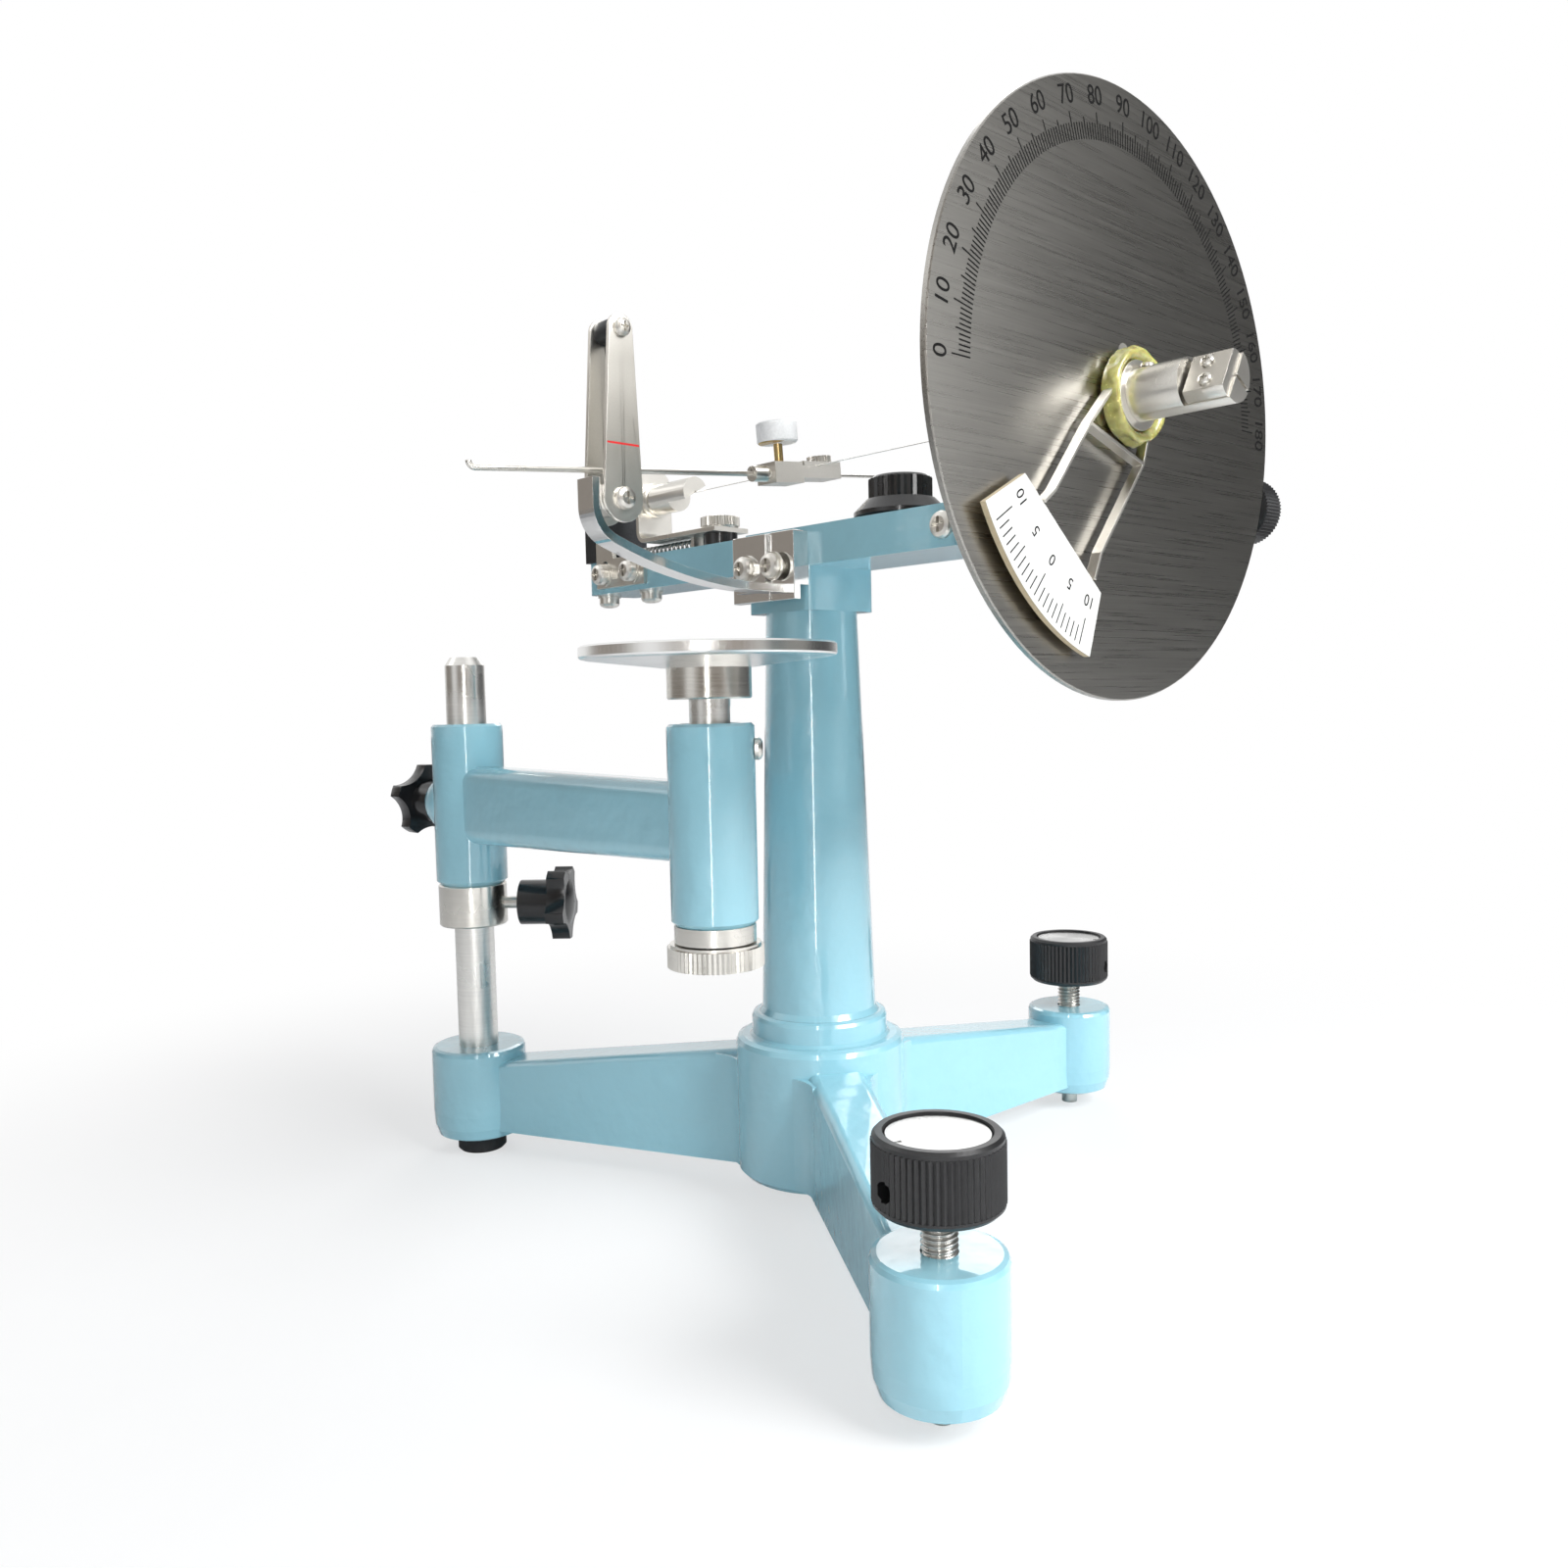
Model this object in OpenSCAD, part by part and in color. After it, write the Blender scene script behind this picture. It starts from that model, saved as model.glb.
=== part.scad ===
/* [Base casting] */
// Distance from the column axis to the centre of each foot
foot_reach = 124; // [110:1:140]
// Direction of the right-hand arm, in degrees from +X
right_turn = -2; // [-6:0.5:2]
// Direction of the front arm
front_turn = -123; // [-126:0.5:-118]
// Direction of the arm under the stage post
post_turn = 115.5; // [113:0.5:120]
// Width of an arm where it leaves the hub
arm_w = 17.2; // [15:0.1:19]
// Height of the arm's top edge above the bench, at the column axis
arm_top = 47.4; // [44:0.1:49]
// Fall of the arm's top edge towards the foot, in degrees
arm_fall = 7.9; // [6:0.1:9]
// Height of the underside of the arms
arm_floor = 9; // [7:0.5:11]
// Diameter of the hub in the middle of the base
hub_d = 50.7; // [46:0.1:56]
// Height of the hub's upper face
hub_top = 50; // [48.5:0.1:52]
// Diameter of the raised ring under the column
ring_d = 40.8; // [38:0.1:44]
// Height of the raised ring's upper face
ring_top = 57; // [55:0.1:60]
// Diameter of the two levelling bosses
boss_d = 29.4; // [27:0.1:32]
// Diameter of the boss that carries the stage post
post_boss_d = 31; // [29:0.1:34]
// Height of the lower face of the bosses
boss_floor = 5.5; // [4.5:0.1:7]
// Height of the upper face of the bosses
boss_top = 36; // [33:0.5:40]

/* [Levelling screws] */
// Diameter of the levelling screw thread
level_d = 8; // [7:0.5:9]
// Diameter of the plain tip that stands on the bench
level_tip_d = 5.5; // [4:0.5:6.5]
// Diameter of the levelling knob
level_knob_d = 28; // [25:0.5:32]
// Height of the levelling knob
level_knob_h = 16; // [13:0.5:20]
// Height of the underside of the levelling knob
level_knob_z = 45.5; // [42:0.5:50]

/* [Column] */
// Diameter of the column at the foot
column_foot_d = 34.2; // [30:0.1:36]
// Diameter of the column at the top
column_top_d = 27.2; // [24:0.1:29]
// Height of the top of the column
column_top = 175.5; // [172:0.5:178]

/* [Stage post and arm] */
// Diameter of the ground steel post
post_d = 13; // [12:0.5:14]
// Height of the top of the post
post_top = 166.6; // [156:0.1:175]
// Diameter of the lock collar
collar_d = 22.4; // [21:0.1:26]
// Height of the lower face of the lock collar
collar_z = 77; // [70:0.5:85]
// Height of the lock collar
collar_h = 14; // [12:0.5:16]
// Distance from the post to the axis of the table
stage_reach = 124; // [119:0.5:130]
// Direction from the post to the table at rest
stage_turn = -88.3; // [-100:0.1:-87]
// Outside diameter of the two sleeves
sleeve_d = 23.4; // [22.6:0.1:25]
// Height of the sleeves
sleeve_h = 53.5; // [48:0.5:58]
// Thickness of the arm between the sleeves
stage_arm_w = 15; // [12:0.5:18]
// Depth of the arm between the sleeves
stage_arm_h = 22.5; // [19:0.5:26]
// Radius of the ball that holds the arm's clamp screw
ball_r = 10.2; // [9.8:0.1:11]

/* [Table] */
// Diameter of the sample table
table_d = 68; // [60:1:69]
// Thickness of the table's rim
table_rim = 3.3; // [2.5:0.1:4]
// Diameter of the spindle
spindle_d = 11; // [10:0.5:12]
// Gap between the sleeve and the table's collar
lift_gap = 6.4; // [6:0.1:8]
// Height of the table's collar
table_collar_h = 8.2; // [7:0.1:10]
// Diameter of the knurled lift nut
lift_nut_d = 26; // [23:0.5:30]

/* [Beam] */
// Height of the torsion wire above the bench
wire_z = 218.3; // [216.5:0.1:220]
// Width of the head block and of the front of the beam
head_w = 26.8; // [25:0.2:29]
// Width of the rear of the beam
rear_w = 20; // [18:0.5:22]
// Height of the underside of the beam
beam_z = 187.9; // [186.5:0.1:189]
// Depth of the beam
beam_h = 11; // [10:0.1:12]
// Distance from the column to the front end of the beam
beam_front = 66; // [62:0.5:70]
// Distance from the column to the rear end of the beam
beam_rear = 101; // [98:0.5:106]

/* [Dial and torsion head] */
// Diameter of the dial
dial_d = 140; // [120:1:150]
// Thickness of the dial
dial_t = 1.5; // [1:0.1:2]
// Distance from the column to the front face of the dial
dial_y = 105.7; // [103:0.1:110]
// Diameter of the torsion head shaft
shaft_d = 12; // [11:0.1:12.4]
// Distance from the front of the dial to the tip of the shaft
shaft_nose = 27.8; // [24:0.1:32]
// Direction of the vernier at rest, in degrees from +X
vernier_turn = -130.3; // [-150:0.1:-110]
// Outer radius of the vernier plate
vernier_r = 63; // [58:0.5:66]
// Angle covered by the vernier plate
vernier_span = 44.8; // [36:0.2:50]

/* [Worm drive] */
// Module of the worm and its wheel
gear_module = 0.5; // [0.4:0.02:0.54]
// Teeth of the worm wheel
wheel_teeth = 48; // [46:1:50]
// Pitch diameter of the worm
worm_pitch_d = 9; // [8.4:0.2:9.6]
// Distance from the column to the middle of the worm wheel
wheel_y = 90; // [89:0.5:91]
// Diameter of the drive knob
drive_knob_d = 18.8; // [16:0.2:22]
// Length of the drive knob
drive_knob_l = 9; // [7:0.5:12]
// Distance from the middle plane to the outer end of the drive knob
drive_knob_x = 88.5; // [80:0.5:100]

/* [Lever] */
// Distance from the torsion wire to the tip of the lever
lever_reach = 110; // [100:0.5:120]
// Diameter of the lever rod
rod_d = 1.5; // [1.2:0.1:1.8]
// Fall of the lever at rest, in degrees
lever_fall = 5; // [3:0.1:6]
// Length of the thin tail behind the wire
tail_reach = 42; // [30:1:55]
// Diameter of the torsion wire
wire_d = 0.3; // [0.2:0.02:0.36]
// Diameter of the white clamp screw's head
white_head_d = 11.8; // [10:0.2:14]

/* [Index fork] */
// Distance from the column to the fork
fork_x = 70; // [66:0.5:74]
// Height of the fork's lower screws
fork_low_z = 202.3; // [200:0.1:204]
// Height of the fork's upper screws
fork_high_z = 245; // [236:0.5:252]
// Gap between the two fork plates
fork_gap = 7; // [6.4:0.1:8]
// Thickness of a fork plate
fork_t = 1.2; // [1:0.1:1.6]

/* [Wire tension slide] */
// Diameter of the rear chuck
chuck_d = 10; // [9:0.5:11]
// Distance from the column to the upright leg of the slide
slide_y = 75; // [72:0.5:78]
// Thickness of the slide's sheet metal
slide_t = 1.5; // [1.2:0.1:1.8]
// Diameter of the tension knob
tension_knob_d = 19; // [17:0.5:21]
// Distance from the column to the clamp stud
stud_y = 41; // [39:0.5:43]

/* [Hidden] */
$fn = 64;

// Clearances
run = 0.05; // radial gap of a shaft that turns or slides
seat = 0.02; // radial gap of a part that is pressed or screwed on
gap = 0.3; // gap between bodies that pass each other
e = 0.01; // overshoot of a cut

// Colours
enamel = "#7fb6c8";
nickel = "#c9c8c2";
steel = "#a9aaa8";
dark_steel = "#4a4d52";
black = "#202124";
brass = "#a8843e";
white = "#f2f2ee";
olive = "#a79c2e";

// Places on the base
post_x = foot_reach * cos(post_turn);
post_y = foot_reach * sin(post_turn);
stage_x = post_x + stage_reach * cos(stage_turn);
stage_y = post_y + stage_reach * sin(stage_turn);

// Heights of the stage
sleeve_z = collar_z + collar_h;
sleeve_top = sleeve_z + sleeve_h;
stage_arm_z = sleeve_z + sleeve_h / 2;
table_collar_z = sleeve_top + lift_gap;
table_z = table_collar_z + table_collar_h;
table_top = table_z + 2.7 + table_rim;

// Heights and lengths of the beam
beam_top = beam_z + beam_h;
worm_z = wire_z - gear_module * wheel_teeth / 2 - worm_pitch_d / 2;
block_front = dial_y - dial_t;

// Star knobs
star_d = 25;
star_h = 6;
star_hub_d = 15;
star_hub_h = 10.4;
star_dome = 1.4;
stud_d = 4;
star_total = star_hub_h + star_h + star_dome;
collar_star_start = 16.6;
arm_star_start = ball_r + 5;

// Lever, seen level
rod_drop = 2.2;
hook_r = 1.6;

// The model stands on the bench with the middle of its outline at the origin
low_x = -(lever_reach + hook_r + rod_d / 2) * cos(lever_fall) - rod_drop * sin(lever_fall);
high_x = foot_reach * cos(right_turn) + boss_d / 2;
low_y = -dial_y - shaft_nose;
star_round = (pow(star_hub_d / 2, 2) + pow(star_dome, 2)) / (2 * star_dome);
star_tip = arm_star_start + star_total - star_round;
high_y = post_y - star_tip * sin(stage_turn) + star_round;
centre_x = (low_x + high_x) / 2;
centre_y = (low_y + high_y) / 2;

module placed() {
    translate([-centre_x, -centre_y, 0]) children();
}

// ---- shared shapes ----

// Rectangle with round corners, centred
module rounded_rect(w, h, r) {
    square([w - 2 * r, h], center = true);
    square([w, h - 2 * r], center = true);
    for (sx = [-1, 1], sy = [-1, 1]) {
        translate([sx * (w / 2 - r), sy * (h / 2 - r)]) circle(r);
    }
}

// Cylinder from one height to another
module rod(d, from, to) {
    translate([0, 0, from]) cylinder(d = d, h = to - from);
}

// Turns a shape that stands on Z so that it lies along +X, +Y or -Y
module along_x() { rotate([0, 90, 0]) children(); }
module along_y() { rotate([-90, 0, 0]) children(); }
module facing_front() { rotate([90, 0, 0]) children(); }

// Turned body from a list of [radius, height] points
module turned(points) {
    rotate_extrude($fn = 96) polygon(points);
}

// Points of an arc
function arc(r, from, to, steps) =
    [for (i = [0:steps]) let (a = from + (to - from) * i / steps) [r * cos(a), r * sin(a)]];

// Round knob with fine grips
module gripped(d, h, grips, depth) {
    linear_extrude(h) polygon([for (i = [0:2 * grips - 1])
        let (r = d / 2 - (i % 2) * depth, a = 180 * i / grips) [r * cos(a), r * sin(a)]]);
}

// Pan-head screw with a cross recess; it stands on Z with its head's seat at zero
module pan_screw(head_d, head_h, thread_d, length) {
    difference() {
        turned([[0, -length], [thread_d / 2, -length], [thread_d / 2, 0], [head_d / 2, 0],
            [head_d / 2, head_h * 0.45], [head_d * 0.44, head_h * 0.75], [head_d * 0.3, head_h * 0.95],
            [0, head_h]]);
        for (a = [0, 90]) rotate([0, 0, a]) translate([0, 0, head_h])
            cube([head_d * 0.55, head_d * 0.12, head_h], center = true);
    }
}

// Flat washer on Z
module washer(d, hole, t) {
    difference() {
        cylinder(d = d, h = t);
        translate([0, 0, -1]) cylinder(d = hole, h = t + 2);
    }
}

// Five-lobed clamp knob with its stud; the hub starts at zero and the stud points down Z
module star_knob(stud_l) {
    rod(stud_d, -stud_l, 1);
    rod(star_hub_d, 0, star_hub_h);
    translate([0, 0, star_hub_h]) linear_extrude(star_h) difference() {
        circle(d = star_d);
        for (i = [0:4]) rotate(72 * i + 36) translate([18.5, 0]) circle(9.3);
    }
    intersection() {
        translate([0, 0, star_total - star_round]) sphere(r = star_round, $fn = 96);
        rod(star_hub_d, star_hub_h + 1, star_total + 1);
    }
}

// ---- base, column and post ----

module base_arm(boss) {
    length = foot_reach;
    intersection() {
        translate([0, 0, arm_floor]) linear_extrude(60)
            polygon([[0, -arm_w / 2], [length, -arm_w / 2 + 0.7], [length, arm_w / 2 - 0.7], [0, arm_w / 2]]);
        translate([0, 0, arm_top]) rotate([0, arm_fall, 0]) rotate([90, 0, 90])
            translate([0, 0, -12]) linear_extrude(length + 30)
            translate([0, -30]) rounded_rect(arm_w, 60, 3.2);
    }
    translate([length, 0, 0]) turned([[0, boss_floor], [boss / 2 - 4, boss_floor],
        [boss / 2 - 1.4, boss_floor + 1.2], [boss / 2 - 0.3, boss_floor + 4.5], [boss / 2, boss_floor + 9],
        [boss / 2, boss_top - 1.5], [boss / 2 - 0.45, boss_top - 0.45], [boss / 2 - 1.5, boss_top],
        [0, boss_top]]);
}

// Web that rounds the corner between the hub and an arm
module hub_fillet() {
    r = 12;
    bite = 0.12; // lets the round run into the hub and the arm
    y = arm_w / 2 + r;
    x = sqrt(pow(hub_d / 2 + r, 2) - y * y);
    for (side = [-1, 1]) across(side) translate([0, 0, arm_floor + 1]) linear_extrude(arm_top - arm_floor - 6) difference() {
        polygon([[0, 0], [x, 0], [x, arm_w / 2], [x, y], [x * hub_d / (hub_d + 2 * r), y * hub_d / (hub_d + 2 * r)]]);
        translate([x - bite, y - bite]) circle(r);
    }
}

module across(side) {
    mirror([0, side < 0 ? 1 : 0, 0]) children();
}

module tripod_base() {
    color(enamel) placed() difference() {
        union() {
            for (a = [front_turn, right_turn]) rotate([0, 0, a]) {
                base_arm(boss_d);
                hub_fillet();
            }
            rotate([0, 0, post_turn]) {
                base_arm(post_boss_d);
                hub_fillet();
            }
            turned([[0, hub_floor], [hub_d / 2 - 1.5, hub_floor], [hub_d / 2, hub_floor + 1.5],
                [hub_d / 2, hub_top - 2], [hub_d / 2 - 0.6, hub_top - 0.6], [hub_d / 2 - 2, hub_top],
                [ring_d / 2 + 0.8, hub_top], [ring_d / 2, hub_top + 0.8], [ring_d / 2, ring_top - 1.5],
                [ring_d / 2 - 0.5, ring_top - 0.5], [ring_d / 2 - 1.5, ring_top], [0, ring_top]]);
        }
        rod(spigot_d + 2 * seat, spigot_z, ring_top + 1);
        rod(level_d + 2 * run, 0, ring_top);
        rod(16, 0, arm_floor + 9);
        for (a = [front_turn, right_turn]) rotate([0, 0, a]) translate([foot_reach, 0, 0])
            rod(level_d + 2 * run, 0, boss_top + 1);
        translate([post_x, post_y, 0]) rod(post_d + 2 * seat, arm_floor + 3, boss_top + 1);
        translate([post_x, post_y, 0]) rod(foot_stem_d + 2 * seat, 0, boss_floor + 5);
    }
}

hub_floor = arm_floor - 0.6;
spigot_d = 22;
spigot_z = 34;
foot_stem_d = 7;

module column() {
    color(enamel) placed() difference() {
        turned([[0, spigot_z + 0.5], [spigot_d / 2, spigot_z + 0.5], [spigot_d / 2, ring_top],
            [column_foot_d / 2 + 1, ring_top], [column_foot_d / 2, ring_top + 1.6],
            [column_top_d / 2, column_top - 1.5], [column_top_d / 2, column_top], [0, column_top]]);
        rod(level_d + 2 * run, spigot_z - 1, ring_top);
        rod(beam_spigot_d + 2 * seat, column_top - beam_spigot_h - 0.5, column_top + 1);
    }
}

beam_spigot_d = 14;
beam_spigot_h = 22;

module column_bolt() {
    color(steel) placed() {
        translate([0, 0, arm_floor + 3.4]) cylinder(d = 14, h = 5.6, $fn = 6);
        rod(level_d, arm_floor + 9 - e, ring_top - 1);
    }
}

module rubber_foot() {
    color(black) placed() translate([post_x, post_y, 0]) {
        turned([[0, 0], [7.2, 0], [8, 0.8], [8, boss_floor], [0, boss_floor]]);
        rod(foot_stem_d, boss_floor - e, boss_floor + 4.8);
    }
}

module stage_post() {
    color(steel) placed() translate([post_x, post_y, 0])
        turned([[0, arm_floor + 3], [post_d / 2, arm_floor + 3], [post_d / 2, post_top - 2.7],
            [post_d / 2 - 1.8, post_top], [0, post_top]]);
}

// ---- levelling screws ----

module level_screw(angle) {
    color(steel) placed() rotate([0, 0, angle]) translate([foot_reach, 0, 0])
        turned([[0, 0], [level_tip_d / 2 - 0.5, 0], [level_tip_d / 2, 0.5], [level_tip_d / 2, 3],
            [level_d / 2, 4.2], [level_d / 2, level_knob_z + level_knob_h - 3], [0, level_knob_z + level_knob_h - 3]]);
}

module level_knob(angle) {
    r = level_knob_d / 2;
    color(black) placed() rotate([0, 0, angle]) translate([foot_reach, 0, level_knob_z]) difference() {
        union() {
            turned([[0, 0], [r - 1.2, 0], [r - 0.2, 1], [r - 0.2, 1.6], [0, 1.6]]);
            translate([0, 0, 1.6 - e]) gripped(level_knob_d, level_knob_h - 3.2, 60, 0.5);
            translate([0, 0, level_knob_h - 1.6 - 2 * e]) turned([[0, 0], [r - 0.3, 0], [r - 0.3, 0.9], [r - 1, 1.6], [0, 1.6]]);
        }
        rod(level_d + 2 * run, -1, level_knob_h - 3);
        rod(inlay_d + 2 * seat, level_knob_h - 2, level_knob_h + 1);
        translate([0, 0, level_knob_h * 0.36]) rotate([0, 90, -70]) rod(4.4, level_d / 2 + 3, level_knob_d);
    }
}

inlay_d = level_knob_d - 5;

module level_inlay(angle) {
    color(nickel) placed() rotate([0, 0, angle]) translate([foot_reach, 0, level_knob_z + level_knob_h - 2]) difference() {
        turned([[0, 0], [inlay_d / 2, 0], [inlay_d / 2, 1], [inlay_d / 2 - 0.6, 1.4], [0, 1.4]]);
        rotate([0, 0, -70]) translate([inlay_d / 2 - 2.4, -0.5, 1]) cube([4, 1, 2]);
    }
}

module level_screw_front() { level_screw(front_turn); }
module level_screw_right() { level_screw(right_turn); }
module level_knob_front() { level_knob(front_turn); }
module level_knob_right() { level_knob(right_turn); }
module level_inlay_front() { level_inlay(front_turn); }
module level_inlay_right() { level_inlay(right_turn); }

// ---- collar, stage arm and table ----

collar_star_turn = -45;

module lock_collar() {
    color(nickel) placed() translate([post_x, post_y, collar_z]) difference() {
        turned([[0, 0], [collar_d / 2 - 0.5, 0], [collar_d / 2, 0.5], [collar_d / 2, collar_h - 0.5],
            [collar_d / 2 - 0.5, collar_h], [0, collar_h]]);
        rod(post_d + 2 * run, -1, collar_h + 1);
        rotate([0, 0, collar_star_turn]) translate([0, 0, collar_h / 2]) along_x() rod(stud_d + 2 * run, 0, collar_d);
    }
}

module collar_star() {
    color(black) placed() translate([post_x, post_y, collar_z + collar_h / 2]) rotate([0, 0, collar_star_turn])
        along_x() translate([0, 0, collar_star_start]) star_knob(collar_star_start - post_d / 2 - gap);
}

// Bar whose lower edge is square and whose upper edge is rounded and tilted
module tilted_edge(length, top, tilt) {
    translate([0, 0, top]) rotate([0, tilt, 0]) rotate([90, 0, 90]) translate([0, 0, -10])
        linear_extrude(length + 20) translate([0, -30]) rounded_rect(stage_arm_w, 60, 5);
}

module stage_arm() {
    color(enamel) placed() translate([post_x, post_y, 0]) rotate([0, 0, stage_turn]) difference() {
        union() {
            for (x = [0, stage_reach]) translate([x, 0, 0])
                turned([[0, sleeve_z], [sleeve_d / 2 - 1.2, sleeve_z], [sleeve_d / 2, sleeve_z + 1.2],
                    [sleeve_d / 2, sleeve_top - 0.8], [sleeve_d / 2 - 0.8, sleeve_top], [0, sleeve_top]]);
            translate([0, 0, stage_arm_z]) intersection() {
                tilted_edge(stage_reach, stage_arm_h / 2 + 1.6, 0.9);
                mirror([0, 0, 1]) tilted_edge(stage_reach, stage_arm_h / 2 + 1.9, 1.2);
                translate([0, -20, -30]) cube([stage_reach, 40, 60]);
            }
            translate([1 - ball_r, 0, stage_arm_z]) sphere(r = ball_r, $fn = 96);
        }
        rod(post_d + 2 * run, sleeve_z - 1, sleeve_top + 1);
        translate([stage_reach, 0, 0]) rod(bush_d + 2 * seat, sleeve_z - 1, sleeve_top + 1);
        translate([0, 0, stage_arm_z]) rotate([0, -90, 0]) rod(stud_d + 2 * run, 0, 40);
        translate([0, 0, stage_arm_z]) rotate([0, -90, 0]) rod(star_hub_d + 2 * gap, arm_star_start - gap, 40);
        translate([stage_reach, 0, key_z]) rotate([0, 0, key_turn - stage_turn]) along_x() rod(key_d + 2 * seat, 0, 20);
    }
}

bush_d = spindle_d + 5;
bush_flange = 4.6;
key_d = 3;
key_turn = -43;
key_z = sleeve_top - 7;

module arm_star() {
    color(black) placed() translate([post_x, post_y, stage_arm_z]) rotate([0, 0, stage_turn])
        rotate([0, -90, 0]) translate([0, 0, arm_star_start]) star_knob(arm_star_start - post_d / 2 - gap);
}

module guide_bush() {
    color(nickel) placed() translate([stage_x, stage_y, 0]) difference() {
        union() {
            rod(bush_d, sleeve_z, sleeve_top - 0.5);
            rod(sleeve_d - 1.4, sleeve_z - bush_flange, sleeve_z);
        }
        rod(spindle_d + 2 * run, sleeve_z, sleeve_top);
        rod(lead_d + 2 * run, sleeve_z - bush_flange - 1, sleeve_z + 1);
        translate([0, 0, key_z]) rotate([0, 0, key_turn]) along_x() rod(key_d + 2 * seat, 0, 20);
    }
}

lead_d = 6;

module key_screw() {
    color(nickel) placed() translate([stage_x, stage_y, key_z]) rotate([0, 0, key_turn]) along_x()
        translate([0, 0, sleeve_d / 2]) pan_screw(6, 2.2, key_d, sleeve_d / 2 - spindle_d / 2 + 0.9);
}

module lift_screw() {
    color(steel) placed() translate([stage_x, stage_y, 0]) {
        rod(lead_d, sleeve_z - bush_flange - 5.2, sleeve_z + 36);
        rod(spindle_d - 1, sleeve_z + 0.1, sleeve_z + 1.5);
    }
}

module lift_nut() {
    top = sleeve_z - bush_flange - gap;
    color(nickel) placed() translate([stage_x, stage_y, 0]) difference() {
        union() {
            translate([0, 0, top - 6.3]) gripped(lift_nut_d, 5.5, 60, 0.4);
            translate([0, 0, top - 0.8 - e]) cylinder(d = lift_nut_d - 1.6, h = 0.8);
        }
        rod(lead_d + 2 * seat, top - 5, top + 1);
    }
}

spindle_foot = sleeve_z + 9;

module spindle() {
    color(steel) placed() translate([stage_x, stage_y, 0]) difference() {
        rod(spindle_d, spindle_foot, table_collar_z + table_collar_h - 1);
        rod(lead_d + 2 * run, spindle_foot - 1, table_collar_z - 4);
        rotate([0, 0, key_turn]) translate([spindle_d / 2 - 1.2, -key_d / 2 - 0.1, spindle_foot + 6])
            cube([3, key_d + 0.2, table_collar_z - spindle_foot - 8]);
    }
}

module table_collar() {
    d = sleeve_d - 0.9;
    color(nickel) placed() translate([stage_x, stage_y, table_collar_z]) difference() {
        turned([[0, 0], [d / 2 - 0.4, 0], [d / 2, 0.4], [d / 2, table_collar_h], [0, table_collar_h]]);
        rod(spindle_d + 2 * seat, -1, table_collar_h - 1);
    }
}

module table_disc() {
    r = table_d / 2;
    rim = table_top - table_rim;
    color(nickel) placed() translate([stage_x, stage_y, 0])
        turned([[0, table_z], [sleeve_d / 2, table_z], [r - 2, rim - 0.4], [r - 0.4, rim], [r, rim + 0.5],
            [r, table_top - 0.5], [r - 0.5, table_top], [0, table_top]]);
}

// ---- beam and bearing block ----

tongue_w = 10;
tongue_z = beam_z + 2;
tongue_h = beam_h - 4;
tongue_l = 11;
pan_d = 7;
pan_h = 2.4;
pan_thread = 4;
side_screw_y = [73, 89];
side_t = 1.5;
foot_screw_y = [73, 97.5];
foot_screw_x = -4;
clamp_screw_y = [-6.2, 5.3];
block_t = 5.6;
rear_plate_t = 6;
rear_plate_y = beam_rear - rear_plate_t;

module beam() {
    color(enamel) placed() difference() {
        union() {
            translate([0, 0, column_top]) linear_extrude(beam_z - column_top + e) rounded_rect(head_w, head_w, 2.5);
            rod(beam_spigot_d, column_top - beam_spigot_h, column_top + 1);
            translate([-head_w / 2, -beam_front, beam_z]) cube([head_w, beam_front + head_w / 2, beam_h]);
            translate([0, (beam_rear + 10) / 2, beam_z]) linear_extrude(beam_h)
                rounded_rect(rear_w, beam_rear - 10, 2);
        }
        translate([-tongue_w / 2 - 0.1, -beam_front - 1, tongue_z - 0.1]) cube([tongue_w + 0.2, tongue_l + 1.6, tongue_h + 0.2]);
        translate([-head_w / 2 - 1, -beam_front + 3.7, beam_z + beam_h / 2]) along_x() rod(pan_thread + 0.1, 0, head_w - 2);
        for (y = clamp_screw_y) translate([-head_w / 2 - 1, y, beam_z]) along_x() rod(pan_thread + 0.1, 0, 9);
        for (y = side_screw_y) translate([-rear_w / 2 - 1, y, beam_z + beam_h * 0.56]) along_x() rod(pan_thread + 0.1, 0, 9);
        for (y = foot_screw_y) translate([foot_screw_x, y, 0]) rod(pan_thread + 0.1, beam_z - 1, beam_top + 1);
        translate([0, stud_y, 0]) rod(stud_bore + 2 * seat, beam_z + 2, beam_top + 1);
        translate([0, -skirt_y, 0]) rod(skirt_stud_d + 2 * run, beam_z + 2, beam_top + 1);
    }
}

stud_bore = 5;
skirt_y = 36;
skirt_stud_d = 6;
upright_t = 7;
cheek_t = 3.8;

// Upright wall with a round head, centred on the torsion wire
module upright(from, thickness) {
    translate([0, -from, 0]) facing_front() {
        translate([-head_w / 2, beam_top - 1, 0]) cube([head_w, wire_z - beam_top + 1, thickness]);
        translate([0, wire_z, 0]) cylinder(d = head_w, h = thickness);
    }
}

bush_wall = 2;
upright_front_y = block_front - upright_t;
upright_rear_y = wheel_y - 6 - 6;

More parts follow.
